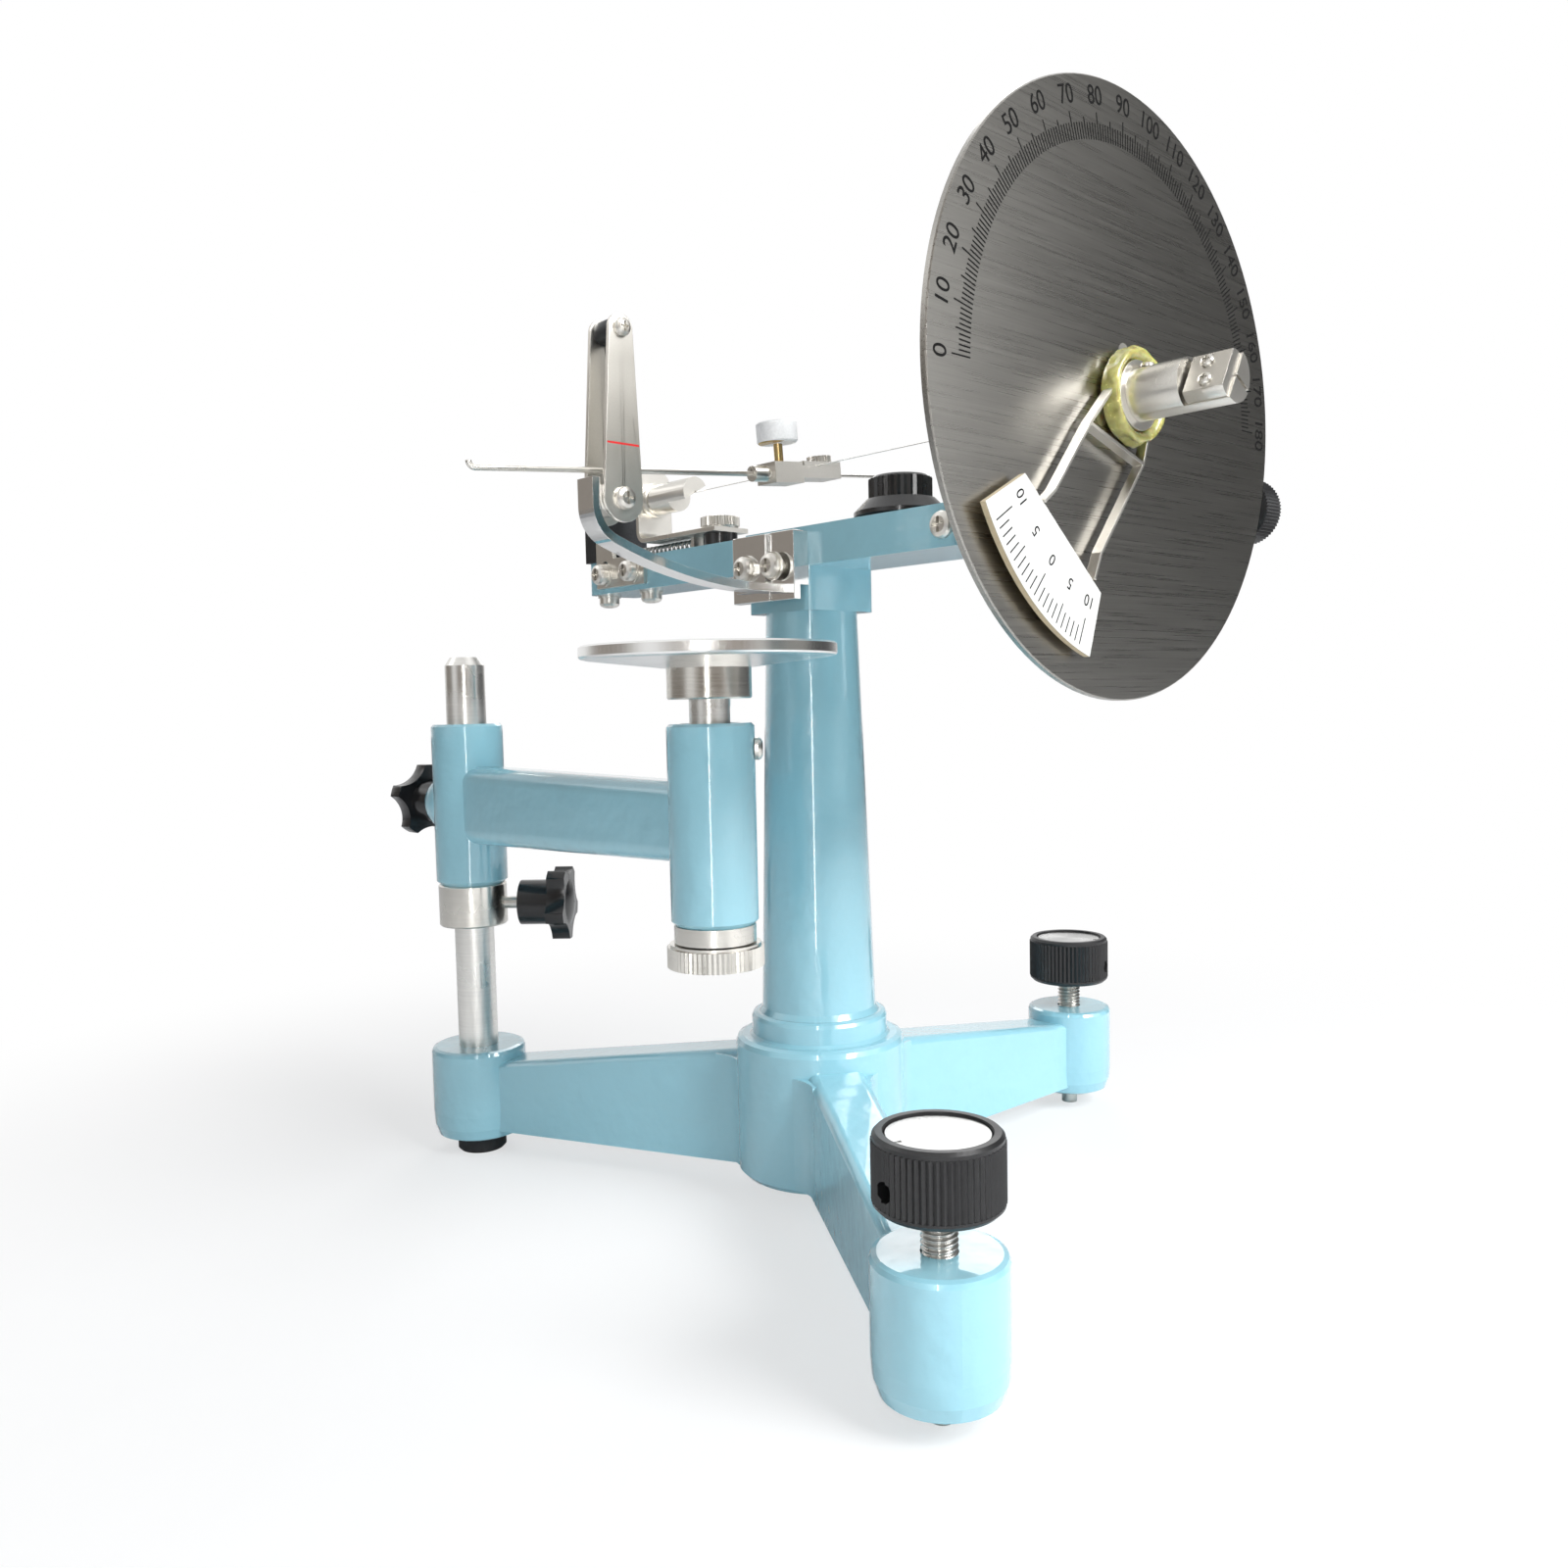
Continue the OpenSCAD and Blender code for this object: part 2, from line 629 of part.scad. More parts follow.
module bearing_block() {
    color(enamel) placed() difference() {
        union() {
            translate([-head_w / 2, -block_front, beam_z]) cube([head_w, block_front - beam_front - 0.1, beam_h]);
            translate([-tongue_w / 2, -beam_front - 1, tongue_z]) cube([tongue_w, tongue_l + 1, tongue_h]);
            upright(upright_front_y, upright_t);
            upright(upright_rear_y, 6);
            for (side = [0, 1]) mirror([side, 0, 0])
                translate([head_w / 2 - cheek_t, -upright_front_y - 0.5, beam_top - 1])
                cube([cheek_t, upright_front_y - upright_rear_y - 5, worm_z - beam_top + 7]);
        }
        translate([-head_w / 2 + cheek_t, -upright_front_y, worm_z - worm_pitch_d / 2 - 1.6])
            cube([head_w - 2 * cheek_t, upright_front_y - upright_rear_y - 6, 30]);
        for (y = [upright_front_y, upright_rear_y]) translate([0, -y + 1, wire_z]) facing_front()
            rod(shaft_d + 2 * bush_wall + 2 * seat, 0, upright_t + 2);
        translate([-head_w, -wheel_y, worm_z]) along_x() rod(worm_shaft_d + 2 * run, 0, 2 * head_w);
        translate([-tongue_w, -beam_front + 3.7, beam_z + beam_h / 2]) along_x() rod(pan_thread + 0.1, 0, 30);
        for (i = [0:2]) translate([0, -block_front - 1, wire_z]) rotate([0, -120 * i - 90, 0])
            translate([dial_screw_r, 0, 0]) along_y() rod(2.1, 0, 7.5);
    }
}

worm_shaft_d = 5;
dial_screw_r = 10.6;

module bearing_bushes() {
    color(brass) placed() for (b = [[upright_front_y, upright_t], [upright_rear_y, 6]])
        translate([0, -b[0], wire_z]) facing_front() washer(shaft_d + 2 * bush_wall, shaft_d + 2 * run, b[1]);
}

module dial_plate() {
    color(nickel) placed() translate([0, -block_front, wire_z]) facing_front() difference() {
        turned([[0, 0], [dial_d / 2, 0], [dial_d / 2, dial_t - 0.3], [dial_d / 2 - 0.3, dial_t], [0, dial_t]]);
        rod(shaft_d + 1, -1, dial_t + 1);
        for (i = [0:2]) rotate([0, 0, 120 * i + 90]) translate([dial_screw_r, 0, 0]) {
            rod(2.2, -1, dial_t + 1);
            translate([0, 0, dial_t - 1]) cylinder(d1 = 2.2, d2 = 4.4, h = 1 + e);
        }
    }
}

module rear_block() {
    color(dark_steel) placed() difference() {
        translate([0, rear_plate_y, 0]) union() {
            translate([-11, 0, beam_top]) cube([22, rear_plate_t, wire_z - beam_top]);
            translate([0, 0, wire_z - 3]) along_y() intersection() {
                cylinder(d = 22, h = rear_plate_t);
                translate([-11, -10, -1]) cube([22, 20, rear_plate_t + 2]);
            }
        }
        translate([0, rear_plate_y - 1, wire_z]) along_y() rod(draw_d + 2 * run, 0, rear_plate_t + 2);
        translate([foot_screw_x, foot_screw_y[1], 0]) rod(pan_thread + 0.1, beam_top - 1, beam_top + 8);
    }
}

draw_d = 6;

module side_plate() {
    z = beam_z + beam_h * 0.56;
    color(nickel) placed() translate([-rear_w / 2, 0, 0]) rotate([0, -90, 0]) linear_extrude(side_t) difference() {
        polygon([[z - 4.5, side_screw_y[0] - 6], [z + 5.2, side_screw_y[0] - 6], [z + 5.2, side_screw_y[1] - 5],
            [z + 11.5, side_screw_y[1] - 3.5], [z + 11.5, side_screw_y[1] + 5], [z - 4.5, side_screw_y[1] + 5]]);
        for (y = side_screw_y) translate([z, y]) {
            circle(d = pan_thread + 0.4);
            translate([2.4, 0]) circle(d = pan_thread + 0.3);
        }
    }
}

washer_t = 0.8;
spring_washer_t = 1;

// Places each pan-head screw; children stand on Z with the clamped face at zero
module at_pan_screws() {
    translate([-head_w / 2, -beam_front + 3.7, beam_z + beam_h / 2]) rotate([0, -90, 0]) children(0);
    for (y = clamp_screw_y) translate([-head_w / 2 - block_t - strip_foot_t, y, beam_z]) rotate([0, -90, 0]) children(1);
    for (y = side_screw_y) translate([-rear_w / 2 - side_t, y, beam_z + beam_h * 0.56]) rotate([0, -90, 0]) children(2);
    translate([foot_screw_x, foot_screw_y[0], beam_z]) rotate([180, 0, 0]) children(2);
    translate([foot_screw_x, foot_screw_y[1], beam_z]) rotate([180, 0, 0]) children(3);
}

strip_foot_t = 1.4;

module pan_screws() {
    stack = washer_t + spring_washer_t;
    color(nickel) placed() at_pan_screws() {
        pan_screw(pan_d, pan_h, pan_thread, 19);
        translate([0, 0, washer_t]) pan_screw(pan_d, pan_h, pan_thread, 12);
        translate([0, 0, stack]) pan_screw(pan_d, pan_h, pan_thread, 6.8);
        translate([0, 0, stack]) pan_screw(pan_d, pan_h, pan_thread, beam_h + stack + 5);
    }
}

module washer_pair() {
    washer(8, pan_thread + 0.2, washer_t);
    translate([0, 0, washer_t + e]) washer(7, pan_thread + 0.2, spring_washer_t - e);
}

module screw_washers() {
    color(steel) placed() {
        for (y = clamp_screw_y) translate([-head_w / 2 - block_t - strip_foot_t, y, beam_z]) rotate([0, -90, 0])
            washer(8, pan_thread + 0.2, washer_t);
        for (y = side_screw_y) translate([-rear_w / 2 - side_t, y, beam_z + beam_h * 0.56]) rotate([0, -90, 0])
            washer_pair();
        for (y = foot_screw_y) translate([foot_screw_x, y, beam_z]) rotate([180, 0, 0]) washer_pair();
    }
}

fork_angle_x = 0.5;

module small_screws() {
    color(nickel) placed() {
        for (side = [-1, 1]) for (p = [[fork_x, fork_low_z, 5.8], [fork_x - fork_angle_x, fork_high_z, 4.6]])
            translate([-p[0], side * (fork_gap / 2 + fork_t), p[1]]) rotate([side > 0 ? -90 : 90, 0, 0])
            pan_screw(p[2], 1.9, 3, fork_t + 2.2);
        for (i = [0:2]) translate([0, -dial_y, wire_z]) facing_front() rotate([0, 0, 120 * i + 90])
            translate([dial_screw_r, 0, 0]) {
                translate([0, 0, -6]) cylinder(d = 2, h = 5.5);
                translate([0, 0, -1]) cylinder(d1 = 2, d2 = 4.2, h = 1);
            }
    }
}

// ---- index fork ----

strip_w = 6.8;
strip_t = 2.3;
strip_z = beam_z - 6.9;
strip_root = head_w / 2 + block_t;
strip_r = 140;
strip_bend_r = 10;
strip_bend_angle = 21.8;
strip_end_l = 7;

module fork_block() {
    color(nickel) placed() difference() {
        translate([-strip_root, -13, beam_z - 9.6]) cube([block_t, 26, 19.2]);
        for (y = clamp_screw_y) translate([-strip_root - 1, y, beam_z]) along_x() rod(pan_thread + 0.1, 0, block_t + 2);
        translate([-strip_root - 1, -3.2, beam_z - 10]) cube([2, 0.5, 20]);
        translate([-strip_root + 2.6, -14, beam_z - 10]) cube([block_t, 28, 4.4]);
    }
}

// Side view of the strip: a long shallow curve, a tight bend and an upright end
module strip_profile() {
    root = [-strip_root - strip_foot_t, strip_z + strip_r];
    bend = root + (strip_r - strip_bend_r) * [-sin(strip_bend_angle), -cos(strip_bend_angle)];
    meet = 270 - strip_bend_angle;
    lower = concat(
        [[-strip_root, strip_z]],
        [for (p = arc(strip_r, 270, meet, 12)) root + p],
        [for (p = arc(strip_bend_r, meet, 180, 12)) bend + p],
        [bend + [-strip_bend_r, strip_end_l]]);
    upper = concat(
        [bend + [strip_t - strip_bend_r, strip_end_l]],
        [for (p = arc(strip_bend_r - strip_t, 180, meet, 12)) bend + p],
        [for (p = arc(strip_r - strip_t, meet, 270, 12)) root + p],
        [[-strip_root, strip_z + strip_t]]);
    polygon(concat(lower, upper));
}

strip_end_x = strip_root + strip_foot_t + (strip_r - strip_bend_r) * sin(strip_bend_angle) + strip_bend_r;
lug_x = fork_x;

module fork_strip() {
    color(nickel) placed() difference() {
        union() {
            translate([0, strip_w / 2, 0]) facing_front() linear_extrude(strip_w) strip_profile();
            translate([-strip_root - strip_foot_t, -2.6, strip_z + 0.1]) cube([strip_foot_t, 12.6, 16]);
            translate([-lug_x, 0, fork_low_z]) difference() {
                translate([0, fork_gap / 2, 0]) facing_front() linear_extrude(fork_gap) {
                    circle(4);
                    polygon([[-strip_end_x + lug_x + strip_t - 0.3, -3], [0, -4], [0, 4], [-strip_end_x + lug_x + strip_t - 0.3, 3]]);
                }
            }
        }
        translate([-lug_x, 20, fork_low_z]) facing_front() rod(3.1, 0, 40);
        translate([-strip_root - 3, clamp_screw_y[1], beam_z]) along_x() rod(pan_thread + 0.1, 0, 10);
    }
}

// Tapered plate with two round ends
module fork_outline() {
    low = [-fork_x, fork_low_z];
    high = [-fork_x + fork_angle_x, fork_high_z];
    low_r = 6;
    high_r = 3.6;
    d = high - low;
    a = atan2(d[1], d[0]);
    b = acos((low_r - high_r) / norm(d));
    translate(low) circle(low_r);
    translate(high) circle(high_r);
    polygon([for (p = [[low, low_r, a + b], [high, high_r, a + b], [high, high_r, a - b], [low, low_r, a - b]])
        p[0] + p[1] * [cos(p[2]), sin(p[2])]]);
}

module fork_plates() {
    color(nickel) placed() difference() {
        for (y = [-fork_gap / 2, fork_gap / 2 + fork_t])
            translate([0, y, 0]) facing_front() linear_extrude(fork_t) fork_outline();
        for (p = [[fork_x, fork_low_z], [fork_x - fork_angle_x, fork_high_z]])
            translate([-p[0], 20, p[1]]) facing_front() rod(3.1, 0, 40);
    }
}

module fork_spacer() {
    color(dark_steel) placed() translate([-fork_x + fork_angle_x, fork_gap / 2, fork_high_z]) facing_front()
        washer(6, 3.1, fork_gap);
}

// ---- torsion head ----

flat_turn = -120; // direction that the shaft's flat faces, less 90 degrees
flat_from = 17;
hub_ring_d = 16;
hub_ring_front = 3; // from the back of the vernier arm
ring_screw_y = 6.2; // from the dial to the small screw in the shaft

module on_wire() {
    placed() translate([0, 0, wire_z]) children();
}

module head_shaft() {
    tip = dial_y + shaft_nose;
    color(nickel) on_wire() facing_front() difference() {
        rod(shaft_d, upright_rear_y - 12, tip);
        rod(wire_d + 0.7, 0, tip + 1);
        rotate([0, 0, flat_turn - 90]) translate([0, -shaft_d, dial_y + flat_from]) cube([shaft_d, 2 * shaft_d, shaft_nose]);
        for (p = wire_screws) rotate([0, 0, flat_turn - 90]) translate([-4, p[0], p[1]]) along_x() rod(1.7, 0, 5);
        translate([0, 0, dial_y + ring_screw_y]) rotate([0, 0, 90]) along_x() rod(1.7, shaft_d / 2 - 3, shaft_d);
        rotate([0, 0, flat_turn - 90]) translate([-0.4 - shaft_d / 2, -0.4, tip - 1.2]) cube([shaft_d / 2, 0.8, 2]);
    }
}

wire_screws = [[-2.6, dial_y + 21.8], [2.6, dial_y + 22.6]];

module wire_clamp() {
    color(nickel) on_wire() facing_front() rotate([0, 0, flat_turn - 90]) difference() {
        intersection() {
            rod(shaft_d - 0.6, dial_y + flat_from + 0.8, dial_y + shaft_nose - 0.6);
            translate([0.02, -shaft_d, 0]) cube([3, 2 * shaft_d, 2 * dial_y]);
        }
        rod(wire_d + 0.1, 0, 2 * dial_y);
        for (p = wire_screws) translate([-4, p[0], p[1]]) along_x() rod(1.7, 0, 10);
    }
}

module clamp_screws() {
    color(nickel) on_wire() facing_front() {
        rotate([0, 0, flat_turn - 90]) for (p = wire_screws) translate([3.04, p[0], p[1]]) along_x() pan_screw(3, 1.1, 1.6, 6);
        translate([0, 0, dial_y + ring_screw_y]) rotate([0, 0, 90]) along_x() translate([0, 0, shaft_d / 2]) pan_screw(3.2, 1, 1.6, 2.6);
    }
}

wheel_face = 4;

module worm_wheel() {
    r = gear_module * wheel_teeth / 2;
    step = 360 / wheel_teeth;
    color(brass) on_wire() translate([0, -wheel_y + wheel_face / 2, 0]) facing_front() difference() {
        union() {
            linear_extrude(wheel_face) rotate(-90) polygon([for (i = [0:wheel_teeth - 1])
                for (p = [[r - 1.2 * gear_module, -0.36], [r + 0.9 * gear_module, -0.13], [r + 0.9 * gear_module, 0.13],
                    [r - 1.2 * gear_module, 0.36]])
                p[0] * [cos(step * (i + p[1])), sin(step * (i + p[1]))]]);
            rod(shaft_d + 5, -1.4, wheel_face + 1.4);
        }
        rod(shaft_d + 2 * seat, -2, wheel_face + 2);
    }
}

module shaft_collar() {
    color(steel) on_wire() translate([0, -upright_rear_y + gap, 0]) along_y() difference() {
        washer(shaft_d + 6, shaft_d + 2 * seat, 5);
        translate([0, 0, 2.5]) rotate([0, 0, 45]) along_x() rod(2.6, 0, 20);
    }
}

// Offset of a bent line with mitred corners
function side_normal(a, b) = let (d = (b - a) / norm(b - a)) [-d[1], d[0]];
function offset_line(points, t) = [for (i = [0:len(points) - 1])
    let (last = len(points) - 1,
        before = side_normal(points[max(i - 1, 0)], points[max(i, 1)]),
        after = side_normal(points[min(i, last - 1)], points[min(i + 1, last)]))
    points[i] + t * (before + after) / (1 + before * after)];

// Thin strip of sheet metal along a bent line, seen from the front
module band(points, t) {
    back = offset_line(points, -t / 2);
    polygon(concat(offset_line(points, t / 2), [for (i = [len(back) - 1:-1:0]) back[i]]));
}

arm_t = 0.8;
arm_w_y = 2.6;
arm_back = 1.3; // from the dial to the arm
plate_gap = 1.8; // from the dial to the vernier plate
plate_t = 1.5;

module vernier_outline(t) {
    apex = [2.3, -15.3];
    corner = [-19.3, -8.7];
    right = (hub_ring_d / 2 - 0.8) * [cos(-22), sin(-22)];
    left = (hub_ring_d / 2 - 0.8) * [cos(140), sin(140)];
    band([left, corner, [-32.7, -24.5], [-36.4, -27.2]], t);
    band([corner - 0.1 * (apex - corner) / norm(apex - corner), apex], t);
    band([right, apex, [-15.3, -36.9], [-17.9, -42.8]], t);
}

module vernier_arm() {
    color(nickel) on_wire() translate([0, -dial_y - arm_back, 0]) facing_front() difference() {
        union() {
            linear_extrude(arm_w_y) intersection() {
                rotate(vernier_turn + 130.3) vernier_outline(arm_t);
                rotate(vernier_turn) translate([plate_inner - 80, -40]) square([80, 80]);
            }
            linear_extrude(plate_gap - arm_back - e) rotate(vernier_turn)
                for (y = [-9.9, 13.6]) translate([plate_inner - 1.5, y - 2]) square([6, 4]);
            rod(hub_ring_d, -arm_back + gap, hub_ring_front);
        }
        rod(shaft_d + 2 * seat, -5, hub_ring_front + 1);
    }
}

plate_inner = 44.4;

module vernier_plate() {
    half = vernier_span / 2;
    color(white) on_wire() translate([0, -dial_y - plate_gap, 0]) facing_front() rotate([0, 0, vernier_turn])
        linear_extrude(plate_t) intersection() {
            circle(vernier_r, $fn = 180);
            polygon([[plate_inner, -plate_inner * tan(half)], [80, -80 * tan(half)], [80, 80 * tan(half)],
                [plate_inner, plate_inner * tan(half)]]);
        }
}

module sealant_ring() {
    color(olive) on_wire() translate([0, -dial_y - arm_back, 0]) facing_front() difference() {
        turned([[hub_ring_d / 2 + seat, -0.6], [11, -0.8], [12.2, 0.6], [11.4, 2.2], [9.6, 3.6], [hub_ring_d / 2 + seat, 3.9]]);
        translate([0, 0, -2]) linear_extrude(8) rotate(vernier_turn + 130.3) vernier_outline(arm_t + 0.4);
    }
}

// ---- worm ----

worm_half = 7;
worm_crest_share = 0.11; // half width of the crest, in pitches
worm_root_share = 0.33; // half width of the thread at its root, in pitches

// Radius of the worm's surface; turn is the place along the thread, in pitches
function worm_radius(turn) =
    let (root = worm_pitch_d / 2 - 1.2 * gear_module, crest = worm_pitch_d / 2 + 0.9 * gear_module,
        off = abs(turn - round(turn)))
    root + (crest - root) * min(1, max(0, (worm_root_share - off) / (worm_root_share - worm_crest_share)));

// Threaded length of the worm, wound to the right round Z, with flat ends
module worm_thread(half) {
    pitch = PI * gear_module;
    rings = round(2 * half / pitch * 8);
    sides = 20;
    points = concat([[0, 0, -half]],
        [for (i = [0:rings], k = [0:sides - 1])
            let (z = half * (2 * i / rings - 1), a = 360 * k / sides, r = worm_radius(z / pitch - k / sides))
            [r * cos(a), r * sin(a), z]],
        [[0, 0, half]]);
    last = len(points) - 1;
    polyhedron(points, concat(
        [for (k = [0:sides - 1]) [0, 1 + k, 1 + (k + 1) % sides]],
        [for (i = [0:rings - 1], k = [0:sides - 1]) let (a = 1 + i * sides + k, b = 1 + i * sides + (k + 1) % sides)
            each [[a, a + sides, b], [b, a + sides, b + sides]]],
        [for (k = [0:sides - 1]) [last, last - sides + (k + 1) % sides, last - sides + k]]));
}

module worm_shaft() {
    head = head_w / 2 + gap;
    color(steel) placed() translate([0, -wheel_y, worm_z]) along_x() {
        rod(worm_shaft_d, -head - 2.5, -worm_half - seat);
        rod(worm_shaft_d, worm_half + seat, drive_knob_x - drive_knob_l / 2 + 6);
        rod(worm_shaft_d + 4, -head - 2.5, -head);
        rod(worm_shaft_d + 4, head, head + 3);
        worm_thread(worm_half);
    }
}

module worm_knob() {
    start = drive_knob_x - drive_knob_l / 2;
    color(black) placed() translate([start, -wheel_y, worm_z]) along_x() difference() {
        union() {
            rod(11, -2.2, 0.5);
            gripped(drive_knob_d, drive_knob_l - 0.8, 60, 0.4);
            translate([0, 0, drive_knob_l - 0.8 - e]) turned([[0, 0], [drive_knob_d / 2 - 0.6, 0], [drive_knob_d / 2 - 1.4, 0.8], [0, 0.8]]);
        }
        rod(worm_shaft_d + 2 * seat, -4, 6.2);
    }
}

// ---- wire tension slide ----

slide_leg_z = beam_top + 4.6;
slide_w = 14;
spacer_d = 11;
slide_front = stud_y - spacer_d / 2;
slide_travel_in = 4; // the slide's way towards the dial
spring_tab_y = stud_y + spacer_d / 2 + slide_travel_in + 0.3;
spring_tab_t = 1.6;
tension_start = beam_rear + gap;

module tension_slide() {
    rear = slide_y + slide_t;
    bend = 4;
    color(nickel) placed() difference() {
        union() {
            translate([slide_w / 2, 0, 0]) rotate([0, -90, 0]) linear_extrude(slide_w) {
                translate([slide_leg_z, slide_front]) square([slide_t, rear - bend - slide_front]);
                translate([slide_leg_z + bend, slide_y]) square([wire_z - slide_leg_z, slide_t]);
                translate([slide_leg_z + bend, rear - bend])
                    polygon(concat(arc(bend, 90, 180, 8), arc(bend - slide_t, 180, 90, 8)));
            }
            translate([0, slide_y, wire_z + 4]) along_y() cylinder(d = slide_w, h = slide_t);
            translate([-3, spring_tab_y, beam_top + gap]) cube([6, spring_tab_t, slide_leg_z - beam_top]);
        }
        translate([0, slide_y - 1, wire_z]) along_y() rod(draw_d + 2 * seat, 0, slide_t + 2);
        for (y = [stud_y - 1.2, stud_y + 4.4]) translate([0, y, 0]) rod(stud_bore + 0.6, slide_leg_z - 1, slide_leg_z + 3);
        translate([-stud_bore / 2 - 0.3, stud_y - 1.2, slide_leg_z - 1]) cube([stud_bore + 0.6, 5.6, 4]);
    }
}

module rear_chuck() {
    cut = 9;
    start = slide_y - 22;
    color(nickel) placed() translate([0, 0, wire_z]) along_y() difference() {
        union() {
            rod(chuck_d, start, slide_y - 1.2);
            rod(chuck_d + 1.6, slide_y - 2.6, slide_y);
            rod(draw_d, slide_y - 1, tension_start + 8.4);
        }
        rod(wire_d + 0.7, 0, slide_y - wire_grip + slide_travel_in + 1);
        rotate([0, 0, 60]) translate([0, -chuck_d, 0]) cube([chuck_d, 2 * chuck_d, start + cut]);
        rotate([0, 0, -120]) translate([0, 0, start + cut + 2.5]) along_x() rod(1.2, chuck_d / 2 - 1.5, chuck_d);
    }
}

module slide_sealant() {
    color(olive) placed() translate([0, slide_y + slide_t + 0.02, wire_z]) along_y()
        turned([[draw_d / 2 + seat, 0], [7.6, 0], [7, 2.6], [5, 4], [draw_d / 2 + seat, 4.4]]);
}

module tension_knob() {
    color(steel) placed() translate([0, tension_start, wire_z]) along_y() difference() {
        union() {
            rod(tension_knob_d - 4, 0, 1);
            translate([0, 0, 1 - e]) gripped(tension_knob_d, 4.4, 60, 0.4);
            translate([0, 0, 5.4 - 2 * e]) turned([[0, 0], [tension_knob_d / 2 - 0.5, 0], [tension_knob_d / 2 - 1.1, 0.6], [0, 0.6]]);
        }
        rod(draw_d + 2 * run, -1, 8);
    }
}

spring_d = 4;
spring_wire = 0.9;
spring_turns = 18;

// Close tube of round section along a helix with flat end turns
function coil_point(a, from, length) =
    let (turn = a / 360, y = from + length * turn / spring_turns, r = (spring_d - spring_wire) / 2)
    [r * cos(a), y, r * sin(a)];

function coil_ring(a, from, length) =
    let (c = coil_point(a, from, length), out = [cos(a), 0, sin(a)], w = spring_wire / 2)
    [for (k = [0:5]) c + w * cos(60 * k) * out + w * sin(60 * k) * [0, 1, 0]];

module tension_spring() {
    from = spring_tab_y + spring_tab_t + 0.1 + spring_wire / 2;
    length = rear_plate_y - 0.1 - spring_wire / 2 - from;
    rings = spring_turns * 8;
    points = [for (i = [0:rings]) each coil_ring(45 * i, from, length)];
    echo(spring_gap = norm(coil_point(360, from, length) - coil_point(0, from, length)) - spring_wire);
    faces = concat([[5, 4, 3], [5, 3, 2], [5, 2, 1], [5, 1, 0]],
        [for (i = [0:rings - 1], k = [0:5]) let (a = 6 * i + k, b = 6 * i + (k + 1) % 6) [a, b, a + 6]],
        [for (i = [0:rings - 1], k = [0:5]) let (a = 6 * i + k, b = 6 * i + (k + 1) % 6) [b, b + 6, a + 6]],
        [for (k = [1:4]) [6 * rings, 6 * rings + k, 6 * rings + k + 1]]);
    color(steel) placed() translate([0, 0, beam_top + gap + spring_d / 2]) polyhedron(points, faces);
}

module slide_spacers() {
    t = (slide_leg_z - beam_top) / 2;
    color(black) placed() for (i = [0, 1]) translate([0, stud_y, beam_top + i * t]) washer(spacer_d, stud_bore + 0.2, t);
}

module clamp_stud() {
    color(steel) placed() translate([0, stud_y, 0]) rod(stud_bore, beam_z + 2.4, slide_leg_z + 5.6);
}

module thumb_nut() {
    color(nickel) placed() translate([0, stud_y, slide_leg_z + slide_t + 0.05]) difference() {
        union() {
            rod(11.4, 0, 0.6);
            translate([0, 0, 0.6 - e]) gripped(12.5, 3, 40, 0.35);
        }
        rod(stud_bore + 2 * run, -1, 5);
    }
}

module skirt_knob() {
    color(black) placed() translate([0, -skirt_y, beam_top + gap]) {
        turned([[0, 0], [12.4, 0], [12.9, 0.5], [12.9, 1.6], [9.6, 5], [0, 5]]);
        translate([0, 0, 5 - e]) gripped(17.5, 5.6, 30, 0.5);
        translate([0, 0, 10.6 - 2 * e]) turned([[0, 0], [8.2, 0], [7.4, 0.7], [0, 0.7]]);
        rod(skirt_stud_d, -8, e);
    }
}

// ---- lever ----

block_low_x = 9.4;
block_high_x = -6;
block_end_x = -17;
clip_t = 1.2;
clip_screw_x = 4.6;
white_x = -11.6;

module on_lever() {
    placed() translate([0, 0, wire_z]) rotate([0, -lever_fall, 0]) children();
}

module lever_rod() {
    color(nickel) on_lever() translate([0, 0, -rod_drop]) {
        translate([-lever_reach, 0, 0]) along_x() rod(rod_d, 0, lever_reach + block_low_x + 2);
        translate([block_low_x, 0, 0]) along_x() rod(0.9, 0, tail_reach - block_low_x);
        translate([-lever_reach, 0, hook_r]) rotate([90, 180, 0]) rotate_extrude(angle = 120, $fn = 48)
            translate([0, 0]) hook_section();
    }
}

module hook_section() {
    translate([hook_r, 0]) circle(rod_d / 2);
}

module lever_block() {
    color(nickel) on_lever() difference() {
        union() {
            translate([block_end_x, -4, -5]) cube([block_high_x - block_end_x, 8, 5.9]);
            translate([block_high_x - e, -4, -3.6]) cube([block_low_x - block_high_x, 8, 3.6]);
            translate([block_end_x, 0, -rod_drop]) rotate([0, -90, 0]) rod(4.4, -1, 5.6);
        }
        translate([block_end_x - 7, 0, -rod_drop]) along_x() rod(rod_d + 2 * seat, 0, 40);
        translate([block_end_x - 7, -0.3, -rod_drop]) cube([6.4, 0.6, 4]);
        along_y() rod(wire_d + 0.1, -10, 10);
        translate([clip_screw_x, 0, 0]) rod(2 + 2 * run, -rod_drop + 0.9, 2);
        translate([white_x, 0, 0]) rod(2.6 + 2 * run, -rod_drop, 4);
    }
}

module clip_plate() {
    color(nickel) on_lever() difference() {
        translate([block_high_x + 0.4, -4, seat]) cube([block_low_x - block_high_x - 0.4, 8, clip_t]);
        along_y() rod(wire_d + 0.1, -10, 10);
        translate([clip_screw_x, 0, 0]) rod(2 + 2 * run, -1, 4);
    }
}

module clip_screw() {
    z = clip_t + seat + 0.05;
    color(nickel) on_lever() translate([clip_screw_x, 0, 0]) {
        translate([0, 0, z]) gripped(7.3, 1.9, 28, 0.3);
        rod(2, -rod_drop + 1, z + e);
    }
}

